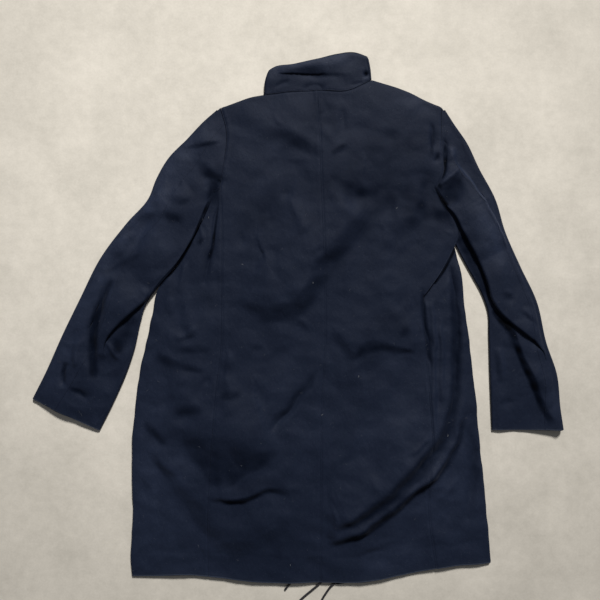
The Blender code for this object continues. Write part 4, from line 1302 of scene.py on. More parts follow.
@dataclass
class CoatBody:
    """The back, the side panels and the fronts.

    Attributes:
        wool: the cloth's material.
        drape: how the top layer lies.
        hem_depth: width of the turned-up hem.
        under_turn: how far a side panel reaches under the coat.
        under_share: the most of its own width that it reaches under.
        tuck_start: where the right side panel starts to lie tucked under the back.
        tuck_ramp: the length over which it goes under.
        tuck_reach: the width over which it does.
        edge_round: radius of a top layer's edge that turns down.
        lift: how far the air inside lifts the top layer.
        under_sleeve: how much further in the left side fold lies under the sleeve.
        turn_columns: columns of a side fold.
        tops: the pieces' middle surfaces, for what lies on them.
        seams: the seams' lines, for their stitches.
    """

    wool: bpy.types.Material
    drape: Drape = Drape(ARMHOLE_FOLDS + BODY_FOLDS + HEM_MARKS, (), BODY_SEAMS)
    hem_depth: float = 42.0
    under_turn: float = 80.0
    under_share: float = 0.8
    tuck_start: float = 5.0
    tuck_ramp: float = 24.0
    tuck_reach: float = 20.0
    edge_round: float = 3.2
    lift: float = 5.0
    under_sleeve: float = 3.4
    turn_columns: int = 9
    tops: list[np.ndarray] = field(default_factory=list)
    seams: list[np.ndarray] = field(default_factory=list)

    def rounded(self, plan: np.ndarray, line: Rows2) -> np.ndarray:
        """How far the cloth drops in a quarter round towards an edge that turns down.

        Args:
            plan: grid of plan points.
            line: the edge.

        Returns:
            One drop for each point.
        """
        away, _, _ = nearest_on(smooth_line(line, 2 * LINE_SAMPLES), plan.reshape(-1, 2))
        inside = np.clip(1 - np.abs(away) / self.edge_round, 0, 1)
        return (self.edge_round * (1 - np.sqrt(1 - inside**2))).reshape(plan.shape[:-1])

    def back(self, name: str, node: str, cut: Cut, hem: Rows2, side: np.ndarray, shoulder: Rows2,
             neck: Rows2, flip: bool) -> np.ndarray:
        """One half of the back.

        Args:
            name: the piece's name.
            node: the frame's node.
            cut: its flat size; not used.
            hem: the hem line, from the side seam to the centre.
            side: the side seam and the armhole, from the hem up.
            shoulder: the shoulder line, from the armhole to the neck.
            neck: the neck line, from the shoulder to the centre.
            flip: whether the grid's outside is its other side.

        Returns:
            Points of the middle surface along its side.
        """
        columns = int(length_of(hem) / FINE) + 1
        neck_columns = int(columns * length_of(neck) / (length_of(neck) + length_of(shoulder)))
        top = chain((shoulder, columns - neck_columns + 1), (neck, neck_columns))
        centre = smooth_line(CENTRE_BACK, len(side))
        plan = plan_patch(smooth_line(hem, len(top)), top, side, centre)
        points = self.drape.place(plan, BACK_LAYER + self.loft(plan))
        points[..., 2] -= self.rounded(plan, shoulder)
        self.tops.append(points[::2, ::2].reshape(-1, 3))
        self.seams.append(points[-1, -neck_columns:])
        if not flip:
            self.seams.append(points[:, -1])
        side_edge = points[:, 0]
        points = drawn_in(points, (False, True, True, True))
        finish = EdgeFinish((1.0, 0.2, 0.25, 0.15), 0, self.hem_depth)
        piece = cloth_wall(name, points, finish, flip, NAP_AND_PAINTED_LIGHT_PATCHES)
        dress(piece, node, self.wool)
        return side_edge

    def loft(self, plan: np.ndarray) -> np.ndarray:
        """How far the air inside lifts the top layer, away from the coat's edges.

        Args:
            plan: grid of plan points.

        Returns:
            One height for each point.
        """
        flat = plan.reshape(-1, 2)
        share = np.ones(len(flat))
        for points, reach, drop in LOFT_EDGES:
            away, _, _ = nearest_on(smooth_line(points, LINE_SAMPLES), flat)
            share *= 1 - drop * np.exp(-np.abs(away) / reach)
        return self.lift * share.reshape(plan.shape[:-1])

    def tucked(self, plan: np.ndarray) -> np.ndarray:
        """How far the right side panel lies tucked under the back.

        Args:
            plan: grid of plan points.

        Returns:
            One share for each point, from 0 to 1.
        """
        away, _, _ = nearest_on(smooth_line(RIGHT_SLIT, LINE_SAMPLES), plan.reshape(-1, 2))
        away = away.reshape(plan.shape[:-1])
        above = (plan[..., 1] - self.tuck_start) / self.tuck_ramp
        return eased((away + self.tuck_ramp) / self.tuck_reach) * eased(above)

    def side(self, name: str, node: str, cut: Cut, hem: Rows2, seam: np.ndarray, edge: np.ndarray,
             inward: int, flip: bool) -> np.ndarray:
        """A side panel, from the side back seam over the side fold to the side front seam underneath.

        Args:
            name: the piece's name.
            node: the frame's node.
            cut: its flat size; not used.
            hem: the hem line, from the seam to the fold.
            seam: the side back seam, from the hem up.
            edge: the side fold, from the hem up.
            inward: 1 where the body is on the edge's left.
            flip: whether the grid's outside is its other side.

        Returns:
            The plan of the side front seam.
        """
        radius = (BACK_LAYER - FLOOR_LAYER) / 2
        inset = radius + HALF_WALL + OUTLINE_GAP / 2 - np.zeros(len(edge))
        if inward < 0:
            inset -= self.under_sleeve * eased((edge[:, 1] - 60) / 40) * eased((270 - edge[:, 1]) / 30)
        flat_edge = moved_in(edge, inward, inset)
        columns = int(np.linalg.norm(flat_edge - seam, axis=1).max() / FINE) + 2
        hem_line = np.linspace(seam[0], flat_edge[0], columns)
        hem_line[:, 1] = smooth_line(hem, columns)[:, 1]
        plan = plan_patch(hem_line, np.linspace(seam[-1], flat_edge[-1], columns), seam, flat_edge)
        points = self.drape.place(plan, BACK_LAYER + self.loft(plan))
        if inward > 0:
            tucked = self.tucked(plan)
            points[..., 2] = (1 - tucked) * points[..., 2] + tucked * TUCKED_LAYER
        self.tops.append(points[::2, ::2].reshape(-1, 3))
        outward = outward_of(edge, -inward)
        turn = turned_edge(points[:, -1], outward, self.turn_columns)
        width = np.linalg.norm(flat_edge - seam, axis=1)
        reach = np.minimum(self.under_turn, self.under_share * width)
        steps = reach[:, None] * np.linspace(0, 1, int(self.under_turn / COARSE))
        under_plan = flat_edge[:, None] - outward[:, None] * steps[..., None]
        under = np.dstack([under_plan, np.full(under_plan.shape[:2], FLOOR_LAYER)])
        grid = np.concatenate([points, turn, under], axis=1)
        piece = cloth_wall(name, drawn_in(grid, (False, False, True, True)),
                           EdgeFinish((1.0, 0.2, 0.15, 0.15), 0, self.hem_depth, 1.2), flip, NAP_AND_PAINTED_LIGHT_PATCHES)
        dress(piece, node, self.wool)
        return under_plan[:, -1]


def front_neck(count: int, drop: float) -> np.ndarray:
    """Line of the front neck, from the left shoulder to the right one.

    Args:
        count: points of each half.
        drop: how far it hangs below the back neck in its middle.

    Returns:
        Its points in plan.
    """
    line = chain((LEFT_NECK, count), (RIGHT_NECK, count))
    share = np.linspace(0, 1, len(line))
    line[:, 1] -= drop * 4 * share * (1 - share)
    return line


@dataclass
class Fronts:
    """The two fronts, which lie face down on the floor, the right one under the left one's lap.

    Attributes:
        wool: the cloth's material.
        lap_half: how far each lap reaches past the centre.
        lap_ramp: where the inner lap starts to rise, beyond lap_half.
        lap_clear: where it has risen, beyond lap_half.
        under_collar: the gap under the collar.
        columns: columns of the plain part, of the rise and of the lap.
        samples: points of the shoulder and of each half of the neck.
    """

    wool: bpy.types.Material
    lap_half: float = 45.0
    lap_ramp: float = 34.0
    lap_clear: float = 12.0
    under_collar: float = 6.0
    columns: tuple[int, int, int] = (26, 6, 14)
    samples: int = 24

    def front(self, name: str, node: str, hem: Rows2, side: np.ndarray, shoulder: Rows2,
              lap_side: int) -> None:
        """One front.

        Args:
            name: the piece's name.
            node: the frame's node.
            hem: the hem line.
            side: the side front seam and the armhole, from the hem up.
            shoulder: the shoulder line, from the armhole to the neck.
            lap_side: 1 where the lap reaches towards +X. That front is the inner one.
        """
        neck = front_neck(self.samples, NECK_DROP + self.under_collar)
        top_line = np.concatenate([smooth_line(shoulder, self.samples), neck])
        plain, rising, lapped = self.columns
        ends = []
        for line, centre, start in ((smooth_line(hem, 60), CENTRE_BACK[0][0], side[0][0]),
                                    (top_line, CENTRE_BACK[-1][0], side[-1][0])):
            ramp = centre - lap_side * (self.lap_half + self.lap_ramp)
            lap = centre - lap_side * (self.lap_half + self.lap_clear)
            edge = centre + lap_side * self.lap_half
            across = np.concatenate([np.linspace(start, ramp, plain), np.linspace(ramp, lap, rising)[1:],
                                     np.linspace(lap, edge, lapped)[1:]])
            order = np.argsort(line[:, 0])
            ends.append(np.column_stack([across, np.interp(across, line[order, 0], line[order, 1])]))
        bottom, top = ends
        plan = plan_patch(bottom, top, side, np.linspace(bottom[-1], top[-1], len(side)))
        rise = np.zeros(len(bottom))
        if lap_side > 0:
            rise = (LAPPED_LAYER - FLOOR_LAYER) * eased((np.arange(len(bottom)) - plain + 1) / (rising - 1))
        points = np.dstack([plan, np.tile(FLOOR_LAYER + rise, (len(side), 1))])
        piece = cloth_wall(name, drawn_in(points, (False, False, True, True)),
                           EdgeFinish((0.7, 0.2, 0.15, 0.7)), lap_side > 0)
        dress(piece, node, self.wool)


@dataclass(frozen=True)
class SleeveShape:
    """Outline, heights and drape of one sleeve.

    Attributes:
        side: left or right, as the wearer's.
        outer: the outer outline, from the armhole to the cuff.
        inner: the inner outline, from the armhole to the cuff.
        armhole: the armhole line, from the inner edge to the outer one.
        cuff: the cuff line, from the inner edge to the outer one.
        inward: 1 where the sleeve is on the inner outline's left.
        heights: rows of the share of the length, and the height of the top layer at the inner edge, the
            extra height in its middle, and its height at the outer edge.
        hindarm: rows of the share of the length, and the share of the width where the hindarm seam lies.
        drape: how the top layer lies.
        upper_cut: flat size of the upper sleeve.
        under_cut: flat size of the under sleeve.
        nap: painted shade and highlights, and the nap's paler or darker tone, in hundredths of the colour.
    """

    side: str
    outer: Rows2
    inner: Rows2
    armhole: Rows2
    cuff: Rows2
    inward: int
    heights: Rows4
    hindarm: Rows2
    drape: Drape
    upper_cut: Cut
    under_cut: Cut
    nap: tuple[Fold, ...]


LEFT_SLEEVE_FOLDS: tuple[Fold, ...] = ARMHOLE_FOLDS + (
    soft((-176,268,8,-0.8), (-160,254,10,-2.6), (-155,234,11,-4.6), (-158,214,10,-5.6),
        (-164,198,6,-2.4), fade=0.12),
    soft((-262,200,10,-1.2), (-285,165,14,-4), (-305,130,15,-5), (-335,100,13,-5), (-370,76,9,-1.9)),
    soft((-340,74,6,-2.8), (-356,40,8,-7.8), (-369,5,10,-8.7), (-378,-22,11,-8.4), (-380,-52,10,-6.8),
        (-376,-85,9,-4.3), (-375,-118,7,-1.6), fade=0.1),
    step(34, (-286,178,7,0.6), (-262,190,8,1.2), (-226,184,10,2.6), (-196,176,8,0.8)),
    step(26, (-232,208,6,0.8), (-210,214,8,2.6), (-188,224,6,0.8)),
    soft((-300,90,16,1.6), (-262,120,18,3.1), (-228,160,16,1.6)),
    soft((-426,-78,5,-1.6), (-430,-105,6,-5), (-432,-134,6,-2.5)),
    soft((-414,-125,5,-1.4), (-396,-140,7,-3.2), (-376,-153,6,-1.2)),
    soft((-399,-32,5,1.2), (-407,-65,6,3.1), (-413,-98,5,1.2)),
    soft((-340,-70,12,-1.6), (-322,-46,15,-5.3), (-303,-14,12,-3.1)),
    soft((-354,-40,4,1.2), (-343,-60,4,4), (-328,-78,4,1.2)),
    soft((-384,-175,10,0.9), (-410,-166,10,1.9), (-440,-150,10,0.9)),
)
LEFT_SLEEVE_NAP_AND_PAINTED_LIGHT: tuple[Fold, ...] = (
    soft((-172,346,26,8), (-226,276,34,28), (-262,216,32,28), (-300,164,30,12)),
    soft((-318,110,16,4), (-350,60,14,12), (-332,40,10,5)),
    # painted shade in the crevice against the body and in the sleeve's folds, with one paler strip beside the
    # forearm fold
    band((-153,264,9,-24), (-154,242,10,-46), (-156,220,10,-50), (-160,202,6,-40), fade=0.1),
    soft((-156,288,8,-8), (-146,274,9,-16), (-140,262,8,-12)),
    band((-150,256,2,-30), (-143,252,2.5,-60), (-136,250,2,-30)),
    band((-162,218,2.4,-40), (-167,206,2.6,-70), (-178,180,2.2,-80), (-200,132,2,-80), (-224,94,2,-80),
        (-258,53,2,-70), (-282,24,2,-30), fade=0.03),
    band((-186,284,4,-20), (-170,270,9,-40), (-154,256,9,-36), fade=0.1),
    soft((-200,320,4,-10), (-170,319,5,-24), (-142,324,4,-14)),
    soft((-238,288,4,-6), (-210,287,4,-12), (-184,284,4,-10)),
    soft((-228,212,6,-14), (-210,216,8,-26), (-192,224,7,-12)),
    soft((-280,172,8,-3), (-258,188,9,-8), (-226,184,11,-24), (-200,178,8,-6)),
    soft((-264,150,18,-6), (-290,120,20,-14), (-330,96,20,-14), (-366,70,14,-6)),
    band((-340,72,4,-20), (-353,42,6.5,-50), (-369,8,9,-64), (-375,-24,10,-64), (-378,-56,9,-58),
        (-377,-84,8,-46), (-374,-120,7,-30), fade=0.08),
    band((-427,-80,3.5,-30), (-432,-104,4.5,-50), (-432,-124,4,-40)),
    band((-424,-126,4,-20), (-404,-137,5,-46), (-384,-146,4,-30)),
    soft((-342,-32,7,-30), (-333,-52,11,-44), (-329,-74,8,-30)),
    soft((-376,79,6,-20), (-342,92,8,-40), (-312,108,8,-36), (-282,113,6,-16)),
    soft((-372,70,6,15), (-360,67,7,34), (-350,60,6,15)),
    soft((-252,186,7,-12), (-226,182,9,-24), (-202,178,6,-12)),
    soft((-352,-66,12,-10), (-330,-44,15,-30), (-308,-12,12,-30), (-294,14,8,-14)),
    # a paler outer side, and paler and darker stretches along the middle
    soft((-142,394,24,15), (-199,325,26,22), (-254,265,26,20), (-295,190,34,44), (-330,140,32,44),
        (-375,68,26,34), (-402,-4,26,38), (-440,-78,26,28), (-474,-156,24,24), fade=0.06),
    soft((-280,230,24,10), (-254,184,26,20), (-286,146,26,22), (-318,108,22,10)),
    soft((-232,160,18,10), (-238,134,20,16), (-250,100,16,8)),
    soft((-350,-176,14,8), (-368,-190,16,16), (-400,-180,14,8)),
    soft((-322,84,12,-10), (-334,68,14,-16), (-344,50,12,-8)),
    soft((-330,-36,14,-10), (-338,-52,16,-18), (-352,-72,14,-12), (-384,-106,16,-20), (-396,-130,14,-10)),
    soft((-176,240,14,-10), (-190,236,16,-18), (-206,226,14,-8)),
)
LEFT_SLEEVE = SleeveShape(
    side="left",
    outer=LEFT_OUTER,
    inner=LEFT_INNER,
    armhole=LEFT_ARMHOLE,
    cuff=LEFT_CUFF,
    inward=-1,
    heights=(
        (0, 6.6, 0.5, 6.6), (0.1, 10, 3.5, 8), (0.25, 14, 3.5, 9.5), (0.38, 14.5, 2.5, 9.5),
        (0.45, 12.5, 2, 9.5), (0.52, 8, 2, 9.5), (0.6, 7, 2, 9), (0.8, 7, 2.5, 8.6), (0.93, 6.4, 4, 7.4),
        (1, 5, 4.6, 5.4),
    ),
    hindarm=((0, 0.8), (0.15, 0.7), (0.35, 0.72), (0.5, 0.7), (0.62, 0.6), (0.75, 0.58), (1, 0.66)),
    drape=Drape(
        folds=LEFT_SLEEVE_FOLDS,
        rolls=(
            Roll(((-349,-74,2,6), (-357,-60,4,7), (-353,-42,6.5,8), (-340,-24,9,11), (-313,2,10.5,13),
                (-280,31,9,12), (-262,47,5,9)), run=55),
        ),
        seams=(Seam(((-150, 352), (-190, 262), (-262, 190), (-315, 107), (-352, 48)), 0.08, 0.0),),
    ),
    upper_cut=Cut(0.155, 0.640, 0.084),
    under_cut=Cut(0.165, 0.560, 0.074),
    nap=LEFT_SLEEVE_NAP_AND_PAINTED_LIGHT,
)

RIGHT_SLEEVE_FOLDS: tuple[Fold, ...] = ARMHOLE_FOLDS + (
    crease((272,336,4,-2), (272,312,4.5,-5.6), (272,286,4.5,-6.4), (268,262,4.5,-5.6), (254,245,5,-2)),
    soft((276,318,6,1.2), (284,304,7,3), (287,286,7,1.4)),
    soft((260,238,5,1), (276,253,5,4), (290,268,5,4), (302,276,4,1.4), fade=0.14),
    soft((304,268,6,-1.4), (296,250,9,-4), (287,228,13,-5.2), (280,206,12,-5), (278,194,8,-2), fade=0.14),
    step(55, (392,128,4,4.7), (377,154,4,7.8), (356,192,4,9.3), (328,236,4,9.3), (300,280,4,6.2),
        (284,306,4,3.1), fade=0.08),
    soft((396,120,2.2,0.9), (377,153,2.2,1.9), (343,211,2.2,2.2), (300,278,2.2,1.6), fade=0.06),
    step(34, (382,-10,5,2), (396,-44,5,3.6), (407,-70,5.5,4.4), (417,-93,5.5,4.6), (428,-116,5.5,4.4),
        (438,-140,5.5,4), (452,-170,6,3.2), (466,-196,6,1.4), fade=0.06),
    soft((374,54,5,0.6), (386,46,6,1.5), (398,42,5,0.6)),
    soft((376,38,5,-0.5), (388,32,6,-1.2), (402,28,5,-0.5)),
    soft((412,24,5,0.5), (424,10,6,1.8), (437,-6,5,0.5)),
    soft((402,18,5,-0.4), (415,4,6,-1.2), (428,-10,5,-0.4)),
    soft((430,4,5,-0.4), (440,-12,6,-1.2), (448,-30,5,-0.4)),
    soft((377,-48,6,1.2), (376,-85,7,3.4), (377,-122,6,1.2)),
    soft((386,-138,9,-1.2), (390,-160,10,-3.1), (400,-176,8,-1.2)),
    soft((424,-80,12,1.6), (446,-112,14,3.7), (462,-150,12,1.6)),
    soft((360,120,18,1.6), (372,90,20,3.7), (392,50,18,1.6)),
)
RIGHT_SLEEVE_NAP_AND_PAINTED_LIGHT: tuple[Fold, ...] = (
    # painted shade in the deep fold into the armpit
    band((302,272,3,-20), (296,254,7,-28), (285,236,13,-36), (281,218,15,-46), (280,200,12,-46), fade=0.08),
    band((273,332,3,-30), (273.5,294,3.8,-74), (270,268,4,-74), (260,248,4,-60)),
    band((254,244,3,-40), (261,230,3.6,-80), (270,215,3.6,-85), (280,204,3,-80), fade=0.06),
    # painted highlights along the hindarm seam's ridge and beside the armpit fold
    soft((316,214,14,8), (340,170,18,22), (366,116,18,22), (384,60,14,8)),
    band((292,283,3,20), (308,270,3,46), (327,241,3,46), (346,210,3,46), (384,144,3,30), fade=0.06),
    soft((262,240,3,10), (276,254,4,34), (292,270,4,20)),
    soft((276,320,5,10), (284,306,7,30), (286,288,6,20)),
    # painted shade on the recessed side of the sleeve and along its rolled edge and creases, with one paler
    # stretch
    band((296,164,8,-34), (312,130,11,-40), (330,94,11,-40), (343,58,8,-36), (350,30,6,-30), fade=0.06),
    soft((316,276,12,-5), (346,226,12,-10), (378,176,10,-5)),
    soft((366,47,7,-10), (384,44,8,-20), (402,41,6,-10)),
    band((383,-4,5,-60), (394,-24,6,-75), (402,-46,5.5,-70), (411,-70,5.5,-70), (421,-93,6,-70),
        (432,-117,6,-68), (442,-143,6,-62), (456,-172,6,-50), (469,-196,6,-30), fade=0.04),
    band((358,18,3,-50), (371,0,5,-75), (383,-14,6,-75), (393,-26,5,-50), fade=0.08),
    soft((430,-90,14,-5), (450,-130,16,-14), (464,-186,12,-10)),
    soft((376,-40,16,6), (376,-96,20,10), (392,-160,22,2)),
    # a paler outer side, and a darker middle
    soft((318,250,18,20), (350,172,26,30), (368,142,26,36), (342,106,20,22), (336,70,14,10)),
    soft((452,-112,14,12), (466,-152,18,32), (474,-196,16,30)),
    soft((384,-50,14,-8), (400,-80,16,-14), (406,-130,16,-10)),
)
RIGHT_SLEEVE = SleeveShape(
    side="right",
    outer=RIGHT_OUTER,
    inner=RIGHT_INNER,
    armhole=RIGHT_ARMHOLE,
    cuff=RIGHT_CUFF,
    inward=1,
    heights=(
        (0, 4, 0, 6.6), (0.1, 4, 0, 6.6), (0.35, 4, 0.5, 7), (0.6, 4.6, 1.5, 9), (0.8, 5.8, 2, 9.5),
        (0.92, 5.4, -1, 11.5), (1, 4.4, -4.2, 15),
    ),
    hindarm=((0, 0.62), (0.12, 0.6), (0.2, 0.7), (0.3, 0.82), (0.4, 0.88), (0.6, 0.86), (1, 0.78)),
    drape=Drape(
        folds=RIGHT_SLEEVE_FOLDS,
        rolls=(
            Roll(((266,220,2,7), (279,203,5,7), (289,190,6.5,7), (303,161,7.5,7), (320,130,8,8),
                (337,97,8.5,8), (350,62,9,8), (358,34,9,8), (370,14,9,9), (384,-1,9,9), (400,-15,9,9),
                (419,-30,8,9), (441,-48,7,8), (452,-64,5,8), (458,-81,2,7)), run=62, fade=0.05),
        ),
    ),
    upper_cut=Cut(0.120, 0.620, 0.056),
    under_cut=Cut(0.155, 0.560, 0.068),
    nap=RIGHT_SLEEVE_NAP_AND_PAINTED_LIGHT,
)


@dataclass
class Sleeve:
    """A sleeve of two pieces: one flat tube parted at the hindarm seam on top and the forearm seam below.

    Attributes:
        shape: its outline, heights and drape.
        wool: the cloth's material.
        hem_depth: width of the turned-up cuff.
        forearm: the floor layer's column, from the inner edge, where the forearm seam lies.
        floor_columns: columns of the floor layer.
        turn_columns: columns of each side fold.
        edge_fade: the share of the width over which the drape dies away at each side.
        top: the top layer's middle surface, for what lies on it.
    """

    shape: SleeveShape
    wool: bpy.types.Material
    hem_depth: float = 38.0
    forearm: int = 9
    floor_columns: int = 25
    turn_columns: int = 11
    edge_fade: float = 0.09
    top: np.ndarray = field(default_factory=lambda: np.zeros((0, 3)))

    def build(self) -> None:
        """Builds the upper and the under sleeve."""
        s = self.shape
        rows = int(length_of(s.outer) / SLEEVE_FINE)
        outer_line, inner_line = smooth_line(s.outer, rows), smooth_line(s.inner, rows)
        share, inner_height, crown, outer_height = np.array(s.heights).T
        v = np.linspace(0, 1, rows)
        at_inner, at_outer = (self.soft_table(v, share, column) for column in (inner_height, outer_height))
        crown_at = self.soft_table(v, share, crown)
        inner_flat = moved_in(inner_line, s.inward, (at_inner - FLOOR_LAYER + WALL) / 2 + OUTLINE_GAP / 2)
        outer_flat = moved_in(outer_line, -s.inward, (at_outer - FLOOR_LAYER + WALL) / 2)
        cap = smooth_line(s.armhole, DENSE)
        cap[0], cap[-1] = inner_flat[0], outer_flat[0]
        plan = plan_patch(cap, smooth_line(s.cuff, DENSE), inner_flat, outer_flat)
        plan[-1] = np.linspace(inner_flat[-1], outer_flat[-1], DENSE)
        u = np.linspace(0, 1, DENSE)[None, :]
        layer = at_inner[:, None] * (1 - u) + at_outer[:, None] * u + crown_at[:, None] * 4 * u * (1 - u)
        strength = faded(u, self.edge_fade) * np.ones((rows, 1))
        dense = s.drape.place(plan, layer, strength, FLOOR_LAYER + WALL)
        split = np.interp(v, *np.array(s.hindarm).T) * (DENSE - 1)
        under_top = self.between(dense, np.zeros(rows), split)
        upper_top = self.between(dense, split, np.full(rows, DENSE - 1.0))
        self.top = np.concatenate([part[::2, ::2].reshape(-1, 3) for part in (under_top, upper_top)])
        outer_turn = turned_edge(upper_top[:, -1], outward_of(outer_line, s.inward), self.turn_columns)
        inner_turn = turned_edge(under_top[:, 0], outward_of(inner_line, -s.inward), self.turn_columns)
        picked = plan[:, (np.linspace(0, 1, self.floor_columns) * (DENSE - 1)).astype(int)]
        floor = np.dstack([picked, np.full(picked.shape[:2], FLOOR_LAYER)])
        upper = np.concatenate([upper_top, outer_turn, floor[:, :self.forearm - 1:-1]], axis=1)
        under = np.concatenate([floor[:, self.forearm::-1], inner_turn[:, ::-1], under_top], axis=1)
        flip = s.inward > 0
        for kind, grid, cut in (("upper", upper, s.upper_cut), ("under", under, s.under_cut)):
            grid = drawn_in(grid, (True, False, False, False), SET_IN_GAP)
            grid = drawn_in(grid, (False, False, True, True))
            finish = EdgeFinish((0.2, 1.0, 0.15, 0.15), -1, self.hem_depth, 0.9, 0.97, True)
            # s.nap holds painted shade and highlights as well as the nap's tone
            piece = cloth_wall(f"{s.side}_{kind}_sleeve", grid, finish, flip, s.nap)
            dress(piece, f"sleeve_{kind}_{s.side}", self.wool)

    @staticmethod
    def soft_table(at: np.ndarray, share: np.ndarray, values: np.ndarray) -> np.ndarray:
        """A table's values, with its corners smoothed.

        Args:
            at: the places to read it at, from 0 to 1.
            share: the table's places.
            values: the table's values.

        Returns:
            One value for each place.
        """
        even = np.linspace(0, 1, 400)
        window = np.hanning(41)[1:-1]
        padded = np.pad(np.interp(even, share, values), len(window) // 2, mode="edge")
        return np.interp(at, even, np.convolve(padded, window / window.sum(), mode="valid"))

    @staticmethod
    def between(dense: np.ndarray, start: np.ndarray, end: np.ndarray) -> np.ndarray:
        """A stretch of a dense grid, with even columns.

        Args:
            dense: the grid.
            start: where the stretch starts in each row, in columns.
            end: where it ends.

        Returns:
            Grid of points.
        """
        share = np.linspace(0, 1, DENSE)[None, :]
        at = start[:, None] * (1 - share) + end[:, None] * share
        low = np.clip(at.astype(int), 0, DENSE - 2)
        part = (at - low)[..., None]
        rows = np.arange(len(dense))[:, None]
        cloth = dense[rows, low] * (1 - part) + dense[rows, low + 1] * part
        widest = np.linalg.norm(np.diff(cloth, axis=1), axis=-1).sum(1).max()
        return even_columns(cloth, int(widest * 1.15 / SLEEVE_FINE) + 2)


COLLAR_FOLDS: tuple[Fold, ...] = (
    soft((-8,449,6,-0.8), (40,446,7,-2.4), (92,447,6,-0.8)),
    soft((-50,424,5,-0.6), (-30,432,6,-2.2), (-8,434,5,-0.8)),
    soft((2,426,6,-0.8), (30,424,7,-2.2), (58,426,6,-0.6)),
    soft((92,430,4,-0.6), (112,431,4,-1.8), (126,433,3,-0.6)),
    soft((120,445,3.5,-1), (127,451,4.5,-5.6), (132,456,3.5,-1.5)),
    soft((124,436,4,0.8), (131,444,4,1.6), (134,452,3,0.8)),
    soft((-44,456,9,1), (0,462,9,2.6), (60,472,10,2), (110,476,10,1)),
)
COLLAR_NAP_AND_PAINTED_LIGHT: tuple[Fold, ...] = (
    # painted highlight along the collar's top edge, and paler at its left end
    soft((-46,462,9,10), (0,466,9,30), (60,474,11,40), (124,478,9,20)),
    soft((-58,430,12,20), (-46,456,14,26), (10,470,12,12)),
    # painted shade along a crease and in the small hollow at the right end, and a painted highlight below
    # that hollow
    soft((26,447,3,-20), (60,448,3.5,-24), (92,450,3,-10)),
    band((121,447,2.4,-40), (127,451,3.4,-85), (132,455,2.6,-40)),
    band((117,441,2,20), (127,442,2.6,50), (135,444,2,20)),
)


@dataclass
class Collar:
    """The collar stand: one band, its back part on top, turned at both sides to ends that meet underneath.

    Attributes:
        wool: the cloth's material.
        edge: height of the top layer at its side folds.
        crown: height in its middle.
        rise: share of the band's depth over which it rises from the neck seam.
        seam_gap: gap between the band and the back at the neck seam.
        setback: how far the ends' upper edges lie behind the top edge.
        end_gap: gap between the two ends underneath.
        rows: rows of the grid.
        half: columns of each half of the back part.
        turn_columns: columns of each side fold.
        edge_fade: the share of the width over which the drape dies away at each side.
        roll_start: share of the depth from which the top edge rolls over.
        roll_drop: how far it comes down.
        drape: how it lies.
        nap: painted shade and highlights, and the nap's paler or darker tone, in hundredths of the colour.
    """

    wool: bpy.types.Material
    edge: float = 8.0
    crown: float = 9.5
    rise: float = 0.5
    seam_gap: float = 0.8
    setback: float = 6.0
    end_gap: float = 4.0
    rows: int = 34
    half: int = 48
    turn_columns: int = 9
    edge_fade: float = 0.08
    roll_start: float = 0.86
    roll_drop: float = 2.4
    drape: Drape = Drape(
        folds=COLLAR_FOLDS,
        rolls=(
            Roll(((-38,450,1,3), (-20,450,1.6,3), (-2,450,2,3), (18,450,1.8,3), (38,450,1.2,3),
                (60,450,0.8,3)), run=22),
        ),
    )
    nap: tuple[Fold, ...] = COLLAR_NAP_AND_PAINTED_LIGHT

    def build(self) -> None:
        """Builds the band."""
        inset = (self.edge - FLOOR_LAYER) / 2 + HALF_WALL
        left = moved_in(smooth_line(COLLAR_LEFT, self.rows), -1, inset)
        right = moved_in(smooth_line(COLLAR_RIGHT, self.rows), 1, inset)
        seam = front_neck(self.half, 0)
        under_seam = front_neck(self.half, NECK_DROP)
        top_edge = chain((COLLAR_TOP_LEFT, self.half), (COLLAR_TOP_RIGHT, self.half))
        for line, row in ((seam, 0), (under_seam, 0), (top_edge, -1)):
            line[0], line[-1] = left[row], right[row]
        plan = plan_patch(seam, top_edge, left, right)
        u = np.linspace(0, 1, len(seam))[None, :]
        v = np.linspace(0, 1, self.rows)[:, None]
        plan[0, :, 1] += self.seam_gap
        crown = self.edge + (self.crown - self.edge) * 4 * u * (1 - u)
        layer = BACK_LAYER + (crown - BACK_LAYER) * eased(v / self.rise)
        points = self.drape.place(plan, layer, faded(u, self.edge_fade) * np.ones((self.rows, 1)))
        points[..., 2] -= self.roll_drop * eased((v - self.roll_start) / (1 - self.roll_start)) ** 2
        left_turn = turned_edge(points[:, 0], outward_of(left, 1), self.turn_columns)
        right_turn = turned_edge(points[:, -1], outward_of(right, -1), self.turn_columns)
        under_plan = plan_patch(under_seam, top_edge - np.array([0, self.setback]), left, right)
        under = np.dstack([under_plan, np.full(under_plan.shape[:2], FLOOR_LAYER)])
        middle = len(seam) // 2
        left_under, right_under = under[:, :middle + 1].copy(), under[:, middle:].copy()
        left_under[:, -1, 0] -= self.end_gap / 2
        right_under[:, 0, 0] += self.end_gap / 2
        grid = np.concatenate([left_under[:, ::-1], left_turn[:, ::-1], points, right_turn,
                               right_under[:, ::-1]], axis=1)
        # self.nap holds painted shade and highlights as well as the nap's tone
        piece = cloth_wall("collar_stand", grid, EdgeFinish((0.15, 0.9, 0.6, 0.6)), True, self.nap)
        dress(piece, "collar", self.wool)


@dataclass(frozen=True)
class CordEnd:
    """One free end of the drawcord, on the floor below the hem.

    Attributes:
        node: the frame's node.
        route: points in plan that it follows.
    """

    node: str
    route: Rows2


CORD_ENDS = (
    CordEnd("cord_short", ((-3, -480), (-9, -487), (-16, -496), (-24, -506))),
    CordEnd("cord_middle", ((51, -484), (41, -494), (28, -505), (9, -521), (-6, -537), (-17, -556))),
    CordEnd("cord_right", ((69, -492), (62, -499), (54, -510), (46, -523), (39, -543), (36, -565))),
)


